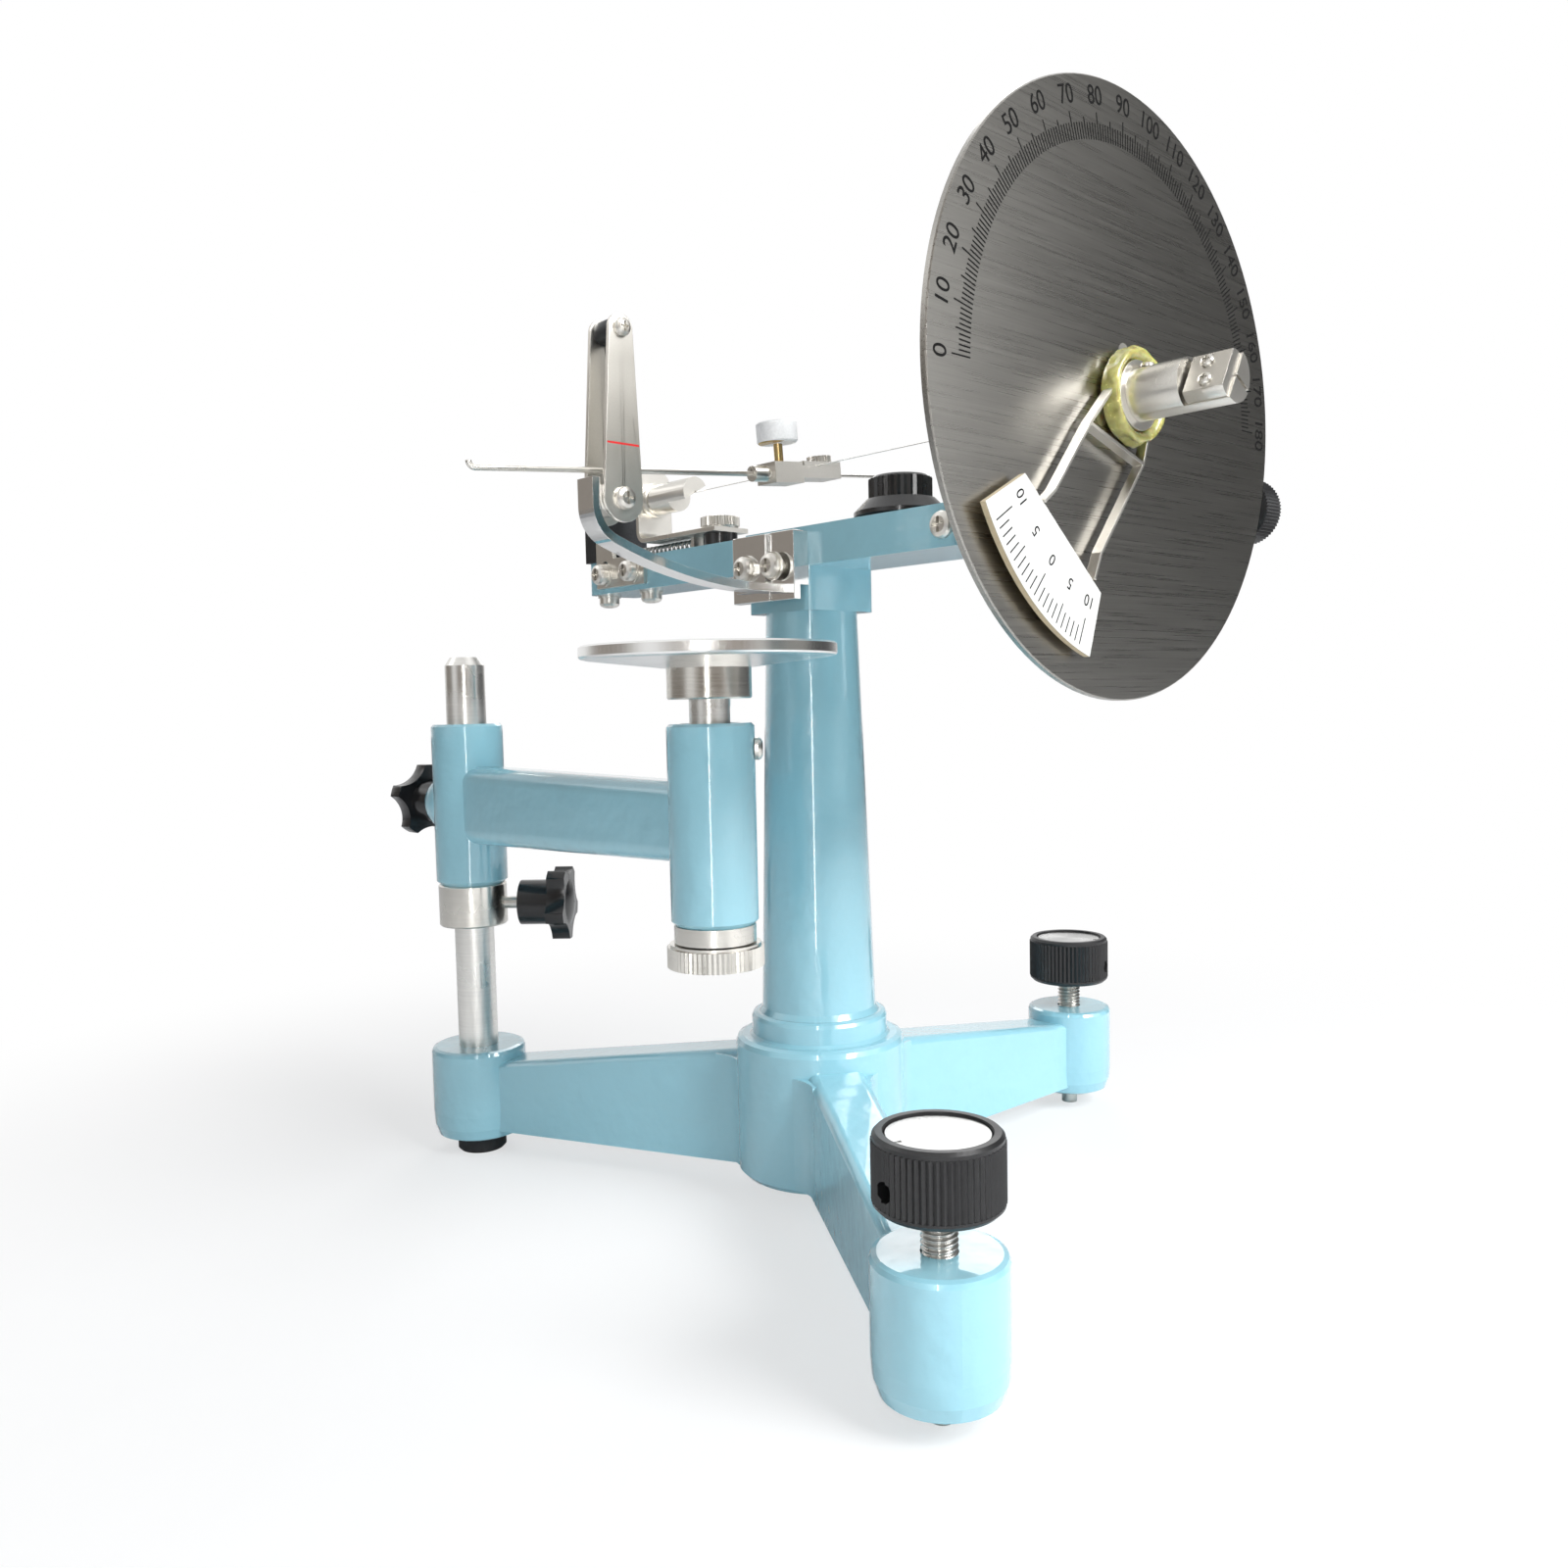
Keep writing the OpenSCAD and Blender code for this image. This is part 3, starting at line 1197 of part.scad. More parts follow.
module lock_screw() {
    color(white) on_lever() translate([white_x, 0, 0]) {
        rod(2.6, -rod_drop + rod_d / 2 + 0.1, 7);
        turned([[0, 6.5], [white_head_d / 2 - 0.5, 6.5], [white_head_d / 2, 7], [white_head_d / 2, 12],
            [white_head_d / 2 - 0.6, 12.5], [0, 12.5]]);
    }
}

wire_grip = 5; // from the slide's upright leg to the rear end of the wire

module torsion_wire() {
    color(steel) placed() translate([0, 0, wire_z]) along_y()
        rod(wire_d, -dial_y - shaft_nose + 1.4, slide_y - wire_grip);
}

tripod_base();
column();
column_bolt();
rubber_foot();
stage_post();
beam();
bearing_block();
bearing_bushes();
dial_plate();
rear_block();
side_plate();
pan_screws();
screw_washers();
small_screws();
fork_block();
fork_strip();
fork_plates();
fork_spacer();
slide_spacers();
clamp_stud();
tension_spring();
level_screw_front();
level_knob_front();
level_inlay_front();
level_screw_right();
level_knob_right();
level_inlay_right();
lock_collar();
collar_star();
stage_arm();
guide_bush();
key_screw();
arm_star();
lift_screw();
lift_nut();
spindle();
table_collar();
table_disc();
head_shaft();
worm_wheel();
shaft_collar();
vernier_arm();
vernier_plate();
sealant_ring();
wire_clamp();
clamp_screws();
worm_shaft();
worm_knob();
tension_knob();
tension_slide();
rear_chuck();
slide_sealant();
thumb_nut();
skirt_knob();
lever_rod();
lever_block();
clip_plate();
torsion_wire();
clip_screw();
lock_screw();
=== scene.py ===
"""Looks of a surface tensiometer: enamelled stand, torsion head, dial, lever, fork and table."""

import math

import bmesh
import bpy
from mathutils import Matrix, Vector, noise


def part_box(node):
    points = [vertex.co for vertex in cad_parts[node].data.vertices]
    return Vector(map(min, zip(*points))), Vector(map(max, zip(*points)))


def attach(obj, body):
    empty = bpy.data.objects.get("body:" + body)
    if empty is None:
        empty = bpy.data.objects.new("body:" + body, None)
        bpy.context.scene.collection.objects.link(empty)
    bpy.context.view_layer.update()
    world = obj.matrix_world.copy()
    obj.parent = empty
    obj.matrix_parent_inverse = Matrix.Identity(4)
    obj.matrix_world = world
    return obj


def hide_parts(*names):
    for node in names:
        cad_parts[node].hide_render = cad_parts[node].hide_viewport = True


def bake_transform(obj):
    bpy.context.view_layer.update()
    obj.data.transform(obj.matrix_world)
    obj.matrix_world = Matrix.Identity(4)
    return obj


bl_info = {
    "name": "Surface Tensiometer Finish",
    "version": (1, 0, 0),
    "blender": (4, 5, 0),
    "location": "3D View > Sidebar > Tensiometer",
    "description": "Finishes, scales, threads and small parts of a ring-pull surface tensiometer",
    "category": "Object",
}

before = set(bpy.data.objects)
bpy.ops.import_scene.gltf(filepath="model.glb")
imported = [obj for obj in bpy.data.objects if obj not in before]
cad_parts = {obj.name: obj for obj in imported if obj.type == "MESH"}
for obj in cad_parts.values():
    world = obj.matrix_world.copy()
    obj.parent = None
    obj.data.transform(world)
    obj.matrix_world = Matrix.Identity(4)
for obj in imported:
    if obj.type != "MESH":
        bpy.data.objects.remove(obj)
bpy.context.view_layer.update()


def centre_of(node):
    """Middle of a CAD node's box."""
    low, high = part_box(node)
    return (low + high) / 2


# Places taken from the frame
COLUMN = centre_of("column")
POST = centre_of("stage_post")
DIAL_LOW, DIAL_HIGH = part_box("dial_plate")
DIAL = Vector(((DIAL_LOW.x + DIAL_HIGH.x) / 2, DIAL_LOW.y, (DIAL_LOW.z + DIAL_HIGH.z) / 2))
WIRE_X, WIRE_Z = DIAL.x, DIAL.z

# Camera, from the column's foot, in metres and degrees
CAMERA_FROM_COLUMN = Vector((-0.25993, -0.26832, 0.15021))
CAMERA_TURN = -42.679
CAMERA_FALL = 3.849
CAMERA_ROLL = -1.239
CAMERA_LENS = 28.70
CAMERA_SENSOR = 36
CAMERA_CLIP = (0.01, 50)

# Lamps: name, place, width and height in metres, power in watts; all look at one point
LAMP_AIM = Vector((0, 0, 0.14))
LAMPS = (
    ("key_light", (0.15, -1.2, 1.0), 0.7, 0.7, 29.0),
    ("window_light", (-0.36, -0.32, 0.25), 0.02, 0.5, 0.55),
    ("side_light", (-0.75, 0.9, 0.95), 0.6, 0.6, 1.2),
    ("back_light", (0.75, 0.7, 1.0), 0.5, 0.9, 4.0),
    ("sheen_light", (0.75, -0.95, 0.45), 0.25, 0.5, 0.55),
)

# Dim parts of the room in reflections: direction, the cosines at which each starts and is full,
# and its colour
DIM_ZONES = (
    ((0.95, -0.34, 0.1), 0.55, 0.93, (0.08, 0.08, 0.08)),
    ((-0.55, -0.8, 0.3), 0.62, 0.86, (0.30, 0.26, 0.225)),
    ((-0.7, 0.7, 0.05), 0.8, 0.95, (0.3, 0.27, 0.24)),
)
# Colour of the room as light on rough surfaces
ROOM_LIGHT = (0.14, 0.147, 0.158)

# Floor: half its width, the distances between which it fades to white for the camera, and how
# white it already is nearer than that
FLOOR_REACH = 6.0
FLOOR_FADE = (0.16, 0.42)
FLOOR_LEAST_WHITE = 0.62

# Printed scales: lengths of the marks at tens, fives and ones, and their width; a unit of the
# dial is one degree
DIAL_TOP_VALUE = 180
DIAL_NUMBER_STEP = 10
DIAL_MARK_LENGTHS = (0.0059, 0.0047, 0.0036)
DIAL_MARK_WIDTH = 0.00032
VERNIER_MARKS = 20
VERNIER_NUMBERS = (10, 5, 0, 5, 10)
VERNIER_NUMBER_STEP = 5
VERNIER_MARK_LENGTHS = (0.0062, 0.005, 0.0038)
VERNIER_MARK_WIDTH = 0.0003
# Vernier: angle of its middle mark and the angle it spans, in degrees; radius of the marks' outer
# ends and of the numbers' middle; height of the numbers; depth of the white face
VERNIER_TURN = -130.3
VERNIER_SPREAD = 36.0
VERNIER_EDGE = 0.0618
VERNIER_NUMBER_RADIUS = 0.0515
VERNIER_NUMBER_SIZE = 0.0028
VERNIER_FACE_DEPTH = 0.00012
# Ink: its thickness, and how far its middle stands in front of the face
INK_THICKNESS = 0.00008
INK_LIFT = 0.00001
# Font size of a number one unit high
FONT_SIZE = 1.38
# Red index line: height above the bench, distance right of the plates' middle, height and width
RED_LINE_Z = 0.216
RED_LINE_SHIFT = 0.0002
RED_LINE_SIZE = (0.0005, 0.0098)

# Broken edges: width on thin parts, on blocks and on star knobs, and the least angle of an edge
THIN_EDGE = 0.00012
BLOCK_EDGE = 0.0003
STAR_EDGE = 0.0008
EDGE_ANGLE = 38
WELD_DISTANCE = 0.000002

# Radius, from the post, at which each star knob's black moulding starts
STAR_MOULDING = {"collar_star": 0.0165, "arm_star": 0.0151}
# Height of the white head on the lever's clamp screw
WHITE_HEAD_H = 0.0066

# Threads: depth and half the groove's width as shares of the pitch, and rings in a turn
THREAD_DEPTH = 0.58
THREAD_GROOVE = 0.44
THREAD_RINGS = 8
# Chamfer at a rod's ends, and how much less it is at the top
ROD_CHAMFER = 0.0004
ROD_TOP_LESS = 0.0001
# Plain tip of a levelling screw: its length, and its share of the screw's radius
TIP_LENGTH = 0.0035
TIP_SHARE = 0.68

# Tension spring: thickness of its wire, turns, steps in a turn and sides of the wire
SPRING_WIRE = 0.0009
SPRING_TURNS = 18
SPRING_STEPS = 24
SPRING_SIDES = 12

# Beads of sealing compound: node, body, colour and inner radius
BEADS = (
    ("sealant_ring", "torsion_head", (0.52, 0.50, 0.16), 0.0081),
    ("slide_sealant", "tension_slide", (0.34, 0.29, 0.08), 0.0031),
)
BEAD_SIDES = 72
BEAD_RINGS = 20
# Frequency and share of each noise in the lumps
BEAD_LUMPS = ((260, 0.5), (620, 0.25))
# How far the outside sinks in without a lump and with a full one, and how far a lump narrows it
BEAD_SINK = 0.35
BEAD_LUMP_SINK = 0.6
BEAD_LUMP_NARROW = 0.2


class StandSettings(bpy.types.PropertyGroup):
    """Enamelled castings and the ground and plated metal."""

    enamel_colour: bpy.props.FloatVectorProperty(
        name="Enamel", description="Colour of the enamelled castings", subtype="COLOR", size=3,
        min=0, max=1, default=(0.295, 0.58, 0.68))
    enamel_ripple: bpy.props.FloatProperty(
        name="Enamel Ripple", description="Depth of the slow waves in the sprayed enamel",
        subtype="DISTANCE", unit="LENGTH", min=0, default=0.00012)
    edge_round: bpy.props.FloatProperty(
        name="Edge Round", description="Radius of the broken edges of the beam and bearing block",
        subtype="DISTANCE", unit="LENGTH", min=0, default=0.0006)
    nickel_colour: bpy.props.FloatVectorProperty(
        name="Nickel", description="Colour of the satin nickel plate", subtype="COLOR", size=3,
        min=0, max=1, default=(0.68, 0.66, 0.615))
    steel_colour: bpy.props.FloatVectorProperty(
        name="Ground Steel", description="Colour of the ground stainless parts", subtype="COLOR",
        size=3, min=0, max=1, default=(0.76, 0.75, 0.72))


class DialSettings(bpy.types.PropertyGroup):
    """Dial plate and its scale."""

    plate_colour: bpy.props.FloatVectorProperty(
        name="Plate", description="Colour of the brushed dial plate", subtype="COLOR", size=3,
        min=0, max=1, default=(0.35, 0.34, 0.318))
    ink_colour: bpy.props.FloatVectorProperty(
        name="Ink", description="Colour of the etched numbers and marks", subtype="COLOR", size=3,
        min=0, max=1, default=(0.006, 0.006, 0.006))
    mark_root: bpy.props.FloatProperty(
        name="Mark Root", description="Radius at which the marks start", subtype="DISTANCE",
        unit="LENGTH", default=0.0563)
    number_radius: bpy.props.FloatProperty(
        name="Number Radius", description="Radius of the middle of the numbers", subtype="DISTANCE",
        unit="LENGTH", default=0.0656)
    number_size: bpy.props.FloatProperty(
        name="Number Size", description="Height of the dial's numbers", subtype="DISTANCE",
        unit="LENGTH", default=0.0042)


class ThreadSettings(bpy.types.PropertyGroup):
    """Metric threads that show."""

    level_pitch: bpy.props.FloatProperty(
        name="Levelling Pitch", description="Pitch of the levelling screws", subtype="DISTANCE",
        unit="LENGTH", min=0.0004, default=0.00125)
    stud_pitch: bpy.props.FloatProperty(
        name="Stud Pitch", description="Pitch of the clamp studs", subtype="DISTANCE",
        unit="LENGTH", min=0.0004, default=0.0008)
    sides: bpy.props.IntProperty(
        name="Sides", description="Steps round a thread", min=12, max=96, default=32)


# ---- node tools ----


def new_material(name):
    """Empty node material with its Principled shader and output."""
    material = bpy.data.materials.new(name)
    material.use_nodes = True
    nodes = material.node_tree.nodes
    return material, nodes, material.node_tree.links, nodes["Principled BSDF"]


def grain(nodes, links, scale, detail=3.0, stretch=(1, 1, 1), distortion=0.0):
    """Noise in the piece's own coordinates; stretch divides its frequency along each axis."""
    place = nodes.new("ShaderNodeTexCoord")
    mapping = nodes.new("ShaderNodeMapping")
    mapping.inputs["Scale"].default_value = [1 / s for s in stretch]
    texture = nodes.new("ShaderNodeTexNoise")
    texture.inputs["Scale"].default_value = scale
    texture.inputs["Detail"].default_value = detail
    texture.inputs["Distortion"].default_value = distortion
    links.new(place.outputs["Object"], mapping.inputs["Vector"])
    links.new(mapping.outputs["Vector"], texture.inputs["Vector"])
    return texture.outputs["Fac"]


def spread(nodes, links, value, low, high):
    """Value from 0.3 to 0.7 mapped to low to high."""
    ranger = nodes.new("ShaderNodeMapRange")
    ranger.inputs["From Min"].default_value = 0.3
    ranger.inputs["From Max"].default_value = 0.7
    ranger.inputs["To Min"].default_value = low
    ranger.inputs["To Max"].default_value = high
    links.new(value, ranger.inputs["Value"])
    return ranger.outputs["Result"]


def tinted(nodes, links, value, dark, light):
    """Colour between dark and light by a value."""
    mix = nodes.new("ShaderNodeMix")
    mix.data_type = "RGBA"
    mix.inputs["A"].default_value = (*dark, 1)
    mix.inputs["B"].default_value = (*light, 1)
    links.new(value, mix.inputs["Factor"])
    return mix.outputs["Result"]


def bumped(nodes, links, height, distance, strength=1.0, normal=None):
    """Bump of a height, over an earlier one where given."""
    bump = nodes.new("ShaderNodeBump")
    bump.inputs["Distance"].default_value = distance
    bump.inputs["Strength"].default_value = strength
    links.new(height, bump.inputs["Height"])
    if normal is not None:
        links.new(normal, bump.inputs["Normal"])
    return bump.outputs["Normal"]


def mixed(nodes, links, first, second, share):
    """Sum of two values, of which the first has a share and the second the rest."""
    total = nodes.new("ShaderNodeMath")
    total.operation = "MULTIPLY_ADD"
    total.inputs[1].default_value = share
    rest = nodes.new("ShaderNodeMath")
    rest.operation = "MULTIPLY"
    rest.inputs[1].default_value = 1 - share
    links.new(first, total.inputs[0])
    links.new(second, rest.inputs[0])
    links.new(rest.outputs[0], total.inputs[2])
    return total.outputs[0]


def shade(colour, factor):
    """Colour times a factor."""
    return tuple(min(1.0, c * factor) for c in colour)


def brushed_metal(nodes, links, shader, amount, turn=0.0):
    """Makes a shader bare metal with highlights that stretch along a tangent round Z."""
    shader.inputs["Metallic"].default_value = 1.0
    shader.inputs["Anisotropic"].default_value = amount
    shader.inputs["Anisotropic Rotation"].default_value = turn
    tangent = nodes.new("ShaderNodeTangent")
    tangent.direction_type = "RADIAL"
    tangent.axis = "Z"
    links.new(tangent.outputs["Tangent"], shader.inputs["Tangent"])


def surface(name, colour, rough, metal=0.0, scale=900, stretch=(1, 1, 1), ripple=0.00002,
            tone=0.12, rough_spread=0.08, coat=0.0, specular=0.5):
    """Finish with fine grain, slow cloudiness, a spread of roughness and a bump."""
    material, nodes, links, shader = new_material(name)
    fine = grain(nodes, links, scale, 4.0, stretch)
    cloudy = grain(nodes, links, 60, 3.0)
    shader.inputs["Metallic"].default_value = metal
    shader.inputs["Specular IOR Level"].default_value = specular
    shader.inputs["Coat Weight"].default_value = coat
    shader.inputs["Coat Roughness"].default_value = 0.06
    ramp = spread(nodes, links, mixed(nodes, links, fine, cloudy, 0.5), 0.0, 1.0)
    links.new(tinted(nodes, links, ramp, shade(colour, 1 - tone), shade(colour, 1 + tone)),
              shader.inputs["Base Color"])
    links.new(spread(nodes, links, cloudy, rough - rough_spread, rough + rough_spread),
              shader.inputs["Roughness"])
    links.new(bumped(nodes, links, fine, ripple), shader.inputs["Normal"])
    return material


def enamel_finish(settings):
    """Sprayed gloss enamel: slow ripple, fine orange peel, slightly deeper colour in places."""
    material, nodes, links, shader = new_material("Enamel")
    slow = grain(nodes, links, 170, 1.5)
    peel = grain(nodes, links, 900, 2.0)
    cloud = grain(nodes, links, 18, 2.0)
    colour = tuple(settings.enamel_colour)
    ramp = spread(nodes, links, cloud, 0, 1)
    links.new(tinted(nodes, links, ramp, shade(colour, 0.95), shade(colour, 1.04)),
              shader.inputs["Base Color"])
    links.new(spread(nodes, links, cloud, 0.2, 0.27), shader.inputs["Roughness"])
    first = bumped(nodes, links, slow, settings.enamel_ripple * 4)
    links.new(bumped(nodes, links, peel, 0.00003, 1.0, first), shader.inputs["Normal"])
    shader.inputs["Coat Weight"].default_value = 1.0
    shader.inputs["Coat Roughness"].default_value = 0.04
    return material


def brushed_plate(settings):
    """Sheet brushed from side to side."""
    material, nodes, links, shader = new_material("Brushed Dial")
    streak = grain(nodes, links, 5200, 5.0, (160, 1, 1))
    broad = grain(nodes, links, 1900, 3.0, (60, 1, 1))
    lines = mixed(nodes, links, streak, broad, 0.55)
    colour = tuple(settings.plate_colour)
    brushed_metal(nodes, links, shader, 0.5, 0.25)
    ramp = spread(nodes, links, lines, 0, 1)
    links.new(tinted(nodes, links, ramp, shade(colour, 0.86), shade(colour, 1.14)),
              shader.inputs["Base Color"])
    links.new(spread(nodes, links, lines, 0.25, 0.33), shader.inputs["Roughness"])
    links.new(bumped(nodes, links, lines, 0.00002), shader.inputs["Normal"])
    return material


def turned_face(name, colour, centre, rough=0.22):
    """Lathe-turned face: fine rings round a vertical axis."""
    material, nodes, links, shader = new_material(name)
    place = nodes.new("ShaderNodeTexCoord")
    shift = nodes.new("ShaderNodeVectorMath")
    shift.operation = "SUBTRACT"
    shift.inputs[1].default_value = (centre.x, centre.y, 0)
    flat = nodes.new("ShaderNodeVectorMath")
    flat.operation = "MULTIPLY"
    flat.inputs[1].default_value = (1, 1, 0)
    length = nodes.new("ShaderNodeVectorMath")
    length.operation = "LENGTH"
    wave = nodes.new("ShaderNodeTexNoise")
    wave.noise_dimensions = "1D"
    wave.inputs["Scale"].default_value = 9000
    wave.inputs["Detail"].default_value = 2
    links.new(place.outputs["Object"], shift.inputs[0])
    links.new(shift.outputs["Vector"], flat.inputs[0])
    links.new(flat.outputs["Vector"], length.inputs[0])
    links.new(length.outputs["Value"], wave.inputs["W"])
    brushed_metal(nodes, links, shader, 0.8)
    links.new(tinted(nodes, links, wave.outputs["Fac"], shade(colour, 0.82), shade(colour, 1.1)),
              shader.inputs["Base Color"])
    links.new(spread(nodes, links, wave.outputs["Fac"], rough - 0.05, rough + 0.06),
              shader.inputs["Roughness"])
    links.new(bumped(nodes, links, wave.outputs["Fac"], 0.00001), shader.inputs["Normal"])
    return material


def two_finishes(name, near, far, axis, split):
    """Near finish up to a plane and far finish beyond it; each is (colour, metallic, roughness)."""
    material, nodes, links, shader = new_material(name)
    place = nodes.new("ShaderNodeTexCoord")
    along = nodes.new("ShaderNodeVectorMath")
    along.operation = "DOT_PRODUCT"
    along.inputs[1].default_value = axis
    beyond = nodes.new("ShaderNodeMath")
    beyond.operation = "GREATER_THAN"
    beyond.inputs[1].default_value = split
    links.new(place.outputs["Object"], along.inputs[0])
    links.new(along.outputs["Value"], beyond.inputs[0])
    speck = grain(nodes, links, 1500, 4.0)
    colours = [tinted(nodes, links, speck, shade(finish[0], 0.85), shade(finish[0], 1.15))
               for finish in (near, far)]
    mix = nodes.new("ShaderNodeMix")
    mix.data_type = "RGBA"
    links.new(beyond.outputs[0], mix.inputs["Factor"])
    links.new(colours[0], mix.inputs["A"])
    links.new(colours[1], mix.inputs["B"])
    links.new(mix.outputs["Result"], shader.inputs["Base Color"])
    for socket, index in (("Metallic", 1), ("Roughness", 2)):
        ranger = nodes.new("ShaderNodeMapRange")
        ranger.inputs["To Min"].default_value = near[index]
        ranger.inputs["To Max"].default_value = far[index]
        links.new(beyond.outputs[0], ranger.inputs["Value"])
        links.new(ranger.outputs["Result"], shader.inputs[socket])
    links.new(bumped(nodes, links, speck, 0.00001), shader.inputs["Normal"])
    return material


def sealing_compound(colour):
    """Glossy, slightly clear compound with a lumpy skin."""
    material, nodes, links, shader = new_material("Sealing Compound")
    cloud = grain(nodes, links, 500, 3.0)
    ramp = spread(nodes, links, cloud, 0, 1)
    links.new(tinted(nodes, links, ramp, shade(colour, 0.75), shade(colour, 1.3)),
              shader.inputs["Base Color"])
    links.new(spread(nodes, links, cloud, 0.1, 0.3), shader.inputs["Roughness"])
    links.new(bumped(nodes, links, cloud, 0.0003), shader.inputs["Normal"])
    shader.inputs["Coat Weight"].default_value = 0.6
    shader.inputs["Transmission Weight"].default_value = 0.25
    shader.inputs["Subsurface Weight"].default_value = 0.3
    shader.inputs["Subsurface Scale"].default_value = 0.002
    return material


# ---- mesh tools ----


def placed(name, mesh, material, body):
    """Object of a mesh in the row frame that rides on a body, where one is given."""
    mesh.materials.append(material)
    thing = bpy.data.objects.new(name, mesh)
    bpy.context.scene.collection.objects.link(thing)
    if body:
        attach(thing, body)
    return thing


def piece(name, points, faces, material, body):
    """New smooth piece of points and faces."""
    mesh = bpy.data.meshes.new(name)
    mesh.from_pydata([tuple(p) for p in points], [], faces)
    mesh.validate()
    mesh.update()
    mesh.polygons.foreach_set("use_smooth", [True] * len(mesh.polygons))
    return placed(name, mesh, material, body)


def grid_faces(rings, sides):
    """Faces of a tube with flat ends, from rings that have a point for each side."""
    faces = []
    for i in range(rings - 1):
        for k in range(sides):
            a = i * sides + k
            b = i * sides + (k + 1) % sides
            faces.append((a, b, b + sides, a + sides))
    faces.append(tuple(reversed(range(sides))))
    faces.append(tuple(range((rings - 1) * sides, rings * sides)))
    return faces


def threaded_rod(radius, pitch, low, high, sides, plain=()):
    """Points and faces of a rod on Z with a metric thread.

    Plain gives (from, to, radius) for the lengths that have no thread.
    """
    depth = THREAD_DEPTH * pitch
    rings = max(2, int((high - low) / pitch * THREAD_RINGS))
    points = []
    for i in range(rings + 1):
        z = low + (high - low) * i / rings
        still = next((r for a, b, r in plain if a <= z <= b), None)
        for k in range(sides):
            turn = (z / pitch - k / sides) % 1.0
            r = radius - depth * max(0.0, 1 - abs(turn - 0.5) / THREAD_GROOVE)
            if still is not None:
                r = still
            r = min(r, radius - ROD_CHAMFER + (z - low),
                    radius - ROD_CHAMFER + (high - z) + ROD_TOP_LESS)
            a = 2 * math.pi * k / sides
            points.append((r * math.cos(a), r * math.sin(a), z))
    return points, grid_faces(rings + 1, sides)


def coil(path, centre, radius, sides):
    """Round wire along a path wound round Y through a centre."""
    points = []
    for p in path:
        out = Vector((p.x - centre.x, 0, p.z - centre.z)).normalized()
        for k in range(sides):
            a = 2 * math.pi * k / sides
            points.append(p + radius * (math.cos(a) * out + math.sin(a) * Vector((0, 1, 0))))
    return points, grid_faces(len(path), sides)


def lumpy_bead(low, high, inner):
    """Points and faces of a lumpy bead round the wire, from an inner radius out to its box."""
    centre = (low + high) / 2
    half_r = ((high.x - low.x) / 2 - inner) / 2
    half_y = (high.y - low.y) / 2
    points = []
    for k in range(BEAD_SIDES):
        a = 2 * math.pi * k / BEAD_SIDES
        for j in range(BEAD_RINGS):
            b = 2 * math.pi * j / BEAD_RINGS
            r = inner + half_r + half_r * math.cos(b)
            y = centre.y + half_y * math.sin(b)
            p = Vector((centre.x + r * math.cos(a), y, WIRE_Z + r * math.sin(a)))
            lump = sum(noise.noise(p * frequency) * share for frequency, share in BEAD_LUMPS)
            outside = max(0.0, math.cos(b) * 0.8 + 0.2)
            r = inner + (r - inner) * (1 - max(0.0, BEAD_SINK + BEAD_LUMP_SINK * lump) * outside)
            y = centre.y + (y - centre.y) * (1 - BEAD_LUMP_NARROW * abs(lump))
            points.append((centre.x + r * math.cos(a), y, WIRE_Z + r * math.sin(a)))
    faces = []
    for k in range(BEAD_SIDES):
        here = k * BEAD_RINGS
        there = (k + 1) % BEAD_SIDES * BEAD_RINGS
        for j in range(BEAD_RINGS):
            after = (j + 1) % BEAD_RINGS
            faces.append((here + j, here + after, there + after, there + j))
    return points, faces


def finish_nodes(names, material, round_edge=0.0, segments=2):
    """Gives CAD nodes a finish and, where asked, broken edges."""
    for name in names:
        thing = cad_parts[name]
        thing.data.materials.clear()
        thing.data.materials.append(material)
        if round_edge > 0:
            weld = thing.modifiers.new("Joined", "WELD")
            weld.merge_threshold = WELD_DISTANCE
            bevel = thing.modifiers.new("Broken Edges", "BEVEL")
            bevel.width = round_edge
            bevel.segments = segments
            bevel.limit_method = "ANGLE"
            bevel.angle_limit = math.radians(EDGE_ANGLE)
            bevel.use_clamp_overlap = True
            bevel.harden_normals = True


def lettering(words, size):
    """Flat mesh of a word, centred, with its height along Y."""
    curve = bpy.data.curves.new("letters", "FONT")
    curve.body = words
    curve.size = size * FONT_SIZE
    curve.align_x = "CENTER"
    curve.align_y = "CENTER"
    curve.extrude = INK_THICKNESS / 2
    holder = bpy.data.objects.new("letters", curve)
    bpy.context.scene.collection.objects.link(holder)
    bpy.context.view_layer.update()
    graph = bpy.context.evaluated_depsgraph_get()
    mesh = bpy.data.meshes.new_from_object(holder.evaluated_get(graph))
    bpy.data.objects.remove(holder)
    bpy.data.curves.remove(curve)
    return mesh


def add_mark(shape, matrix, length, width):
    """Adds a thin bar, along local Y, to a scale's mesh."""
    made = bmesh.ops.create_cube(shape, size=1.0)
    scale = Matrix.Diagonal((width, length, INK_THICKNESS, 1))
    bmesh.ops.transform(shape, matrix=matrix @ scale, verts=made["verts"])


def mark_length(value, lengths):
    """Length of a mark by its value, from the lengths at tens, fives and ones."""
    if value % 10 == 0:
        return lengths[0]
    return lengths[1] if value % 5 == 0 else lengths[2]


def face_at(x, plane_y, z):
    """Matrix of a place on a face that looks to -Y; local Y points up."""
    return Matrix(((1, 0, 0, x), (0, 0, -1, plane_y), (0, 1, 0, z), (0, 0, 0, 1)))


def on_face(plane_y, angle, radius):
    """Matrix of a place on a face that looks to -Y, round the wire; local Y points outwards."""
    turn = Matrix.Rotation(math.radians(angle) - math.pi / 2, 4, "Z")
    return face_at(WIRE_X, plane_y, WIRE_Z) @ turn @ Matrix.Translation((0, radius, 0))


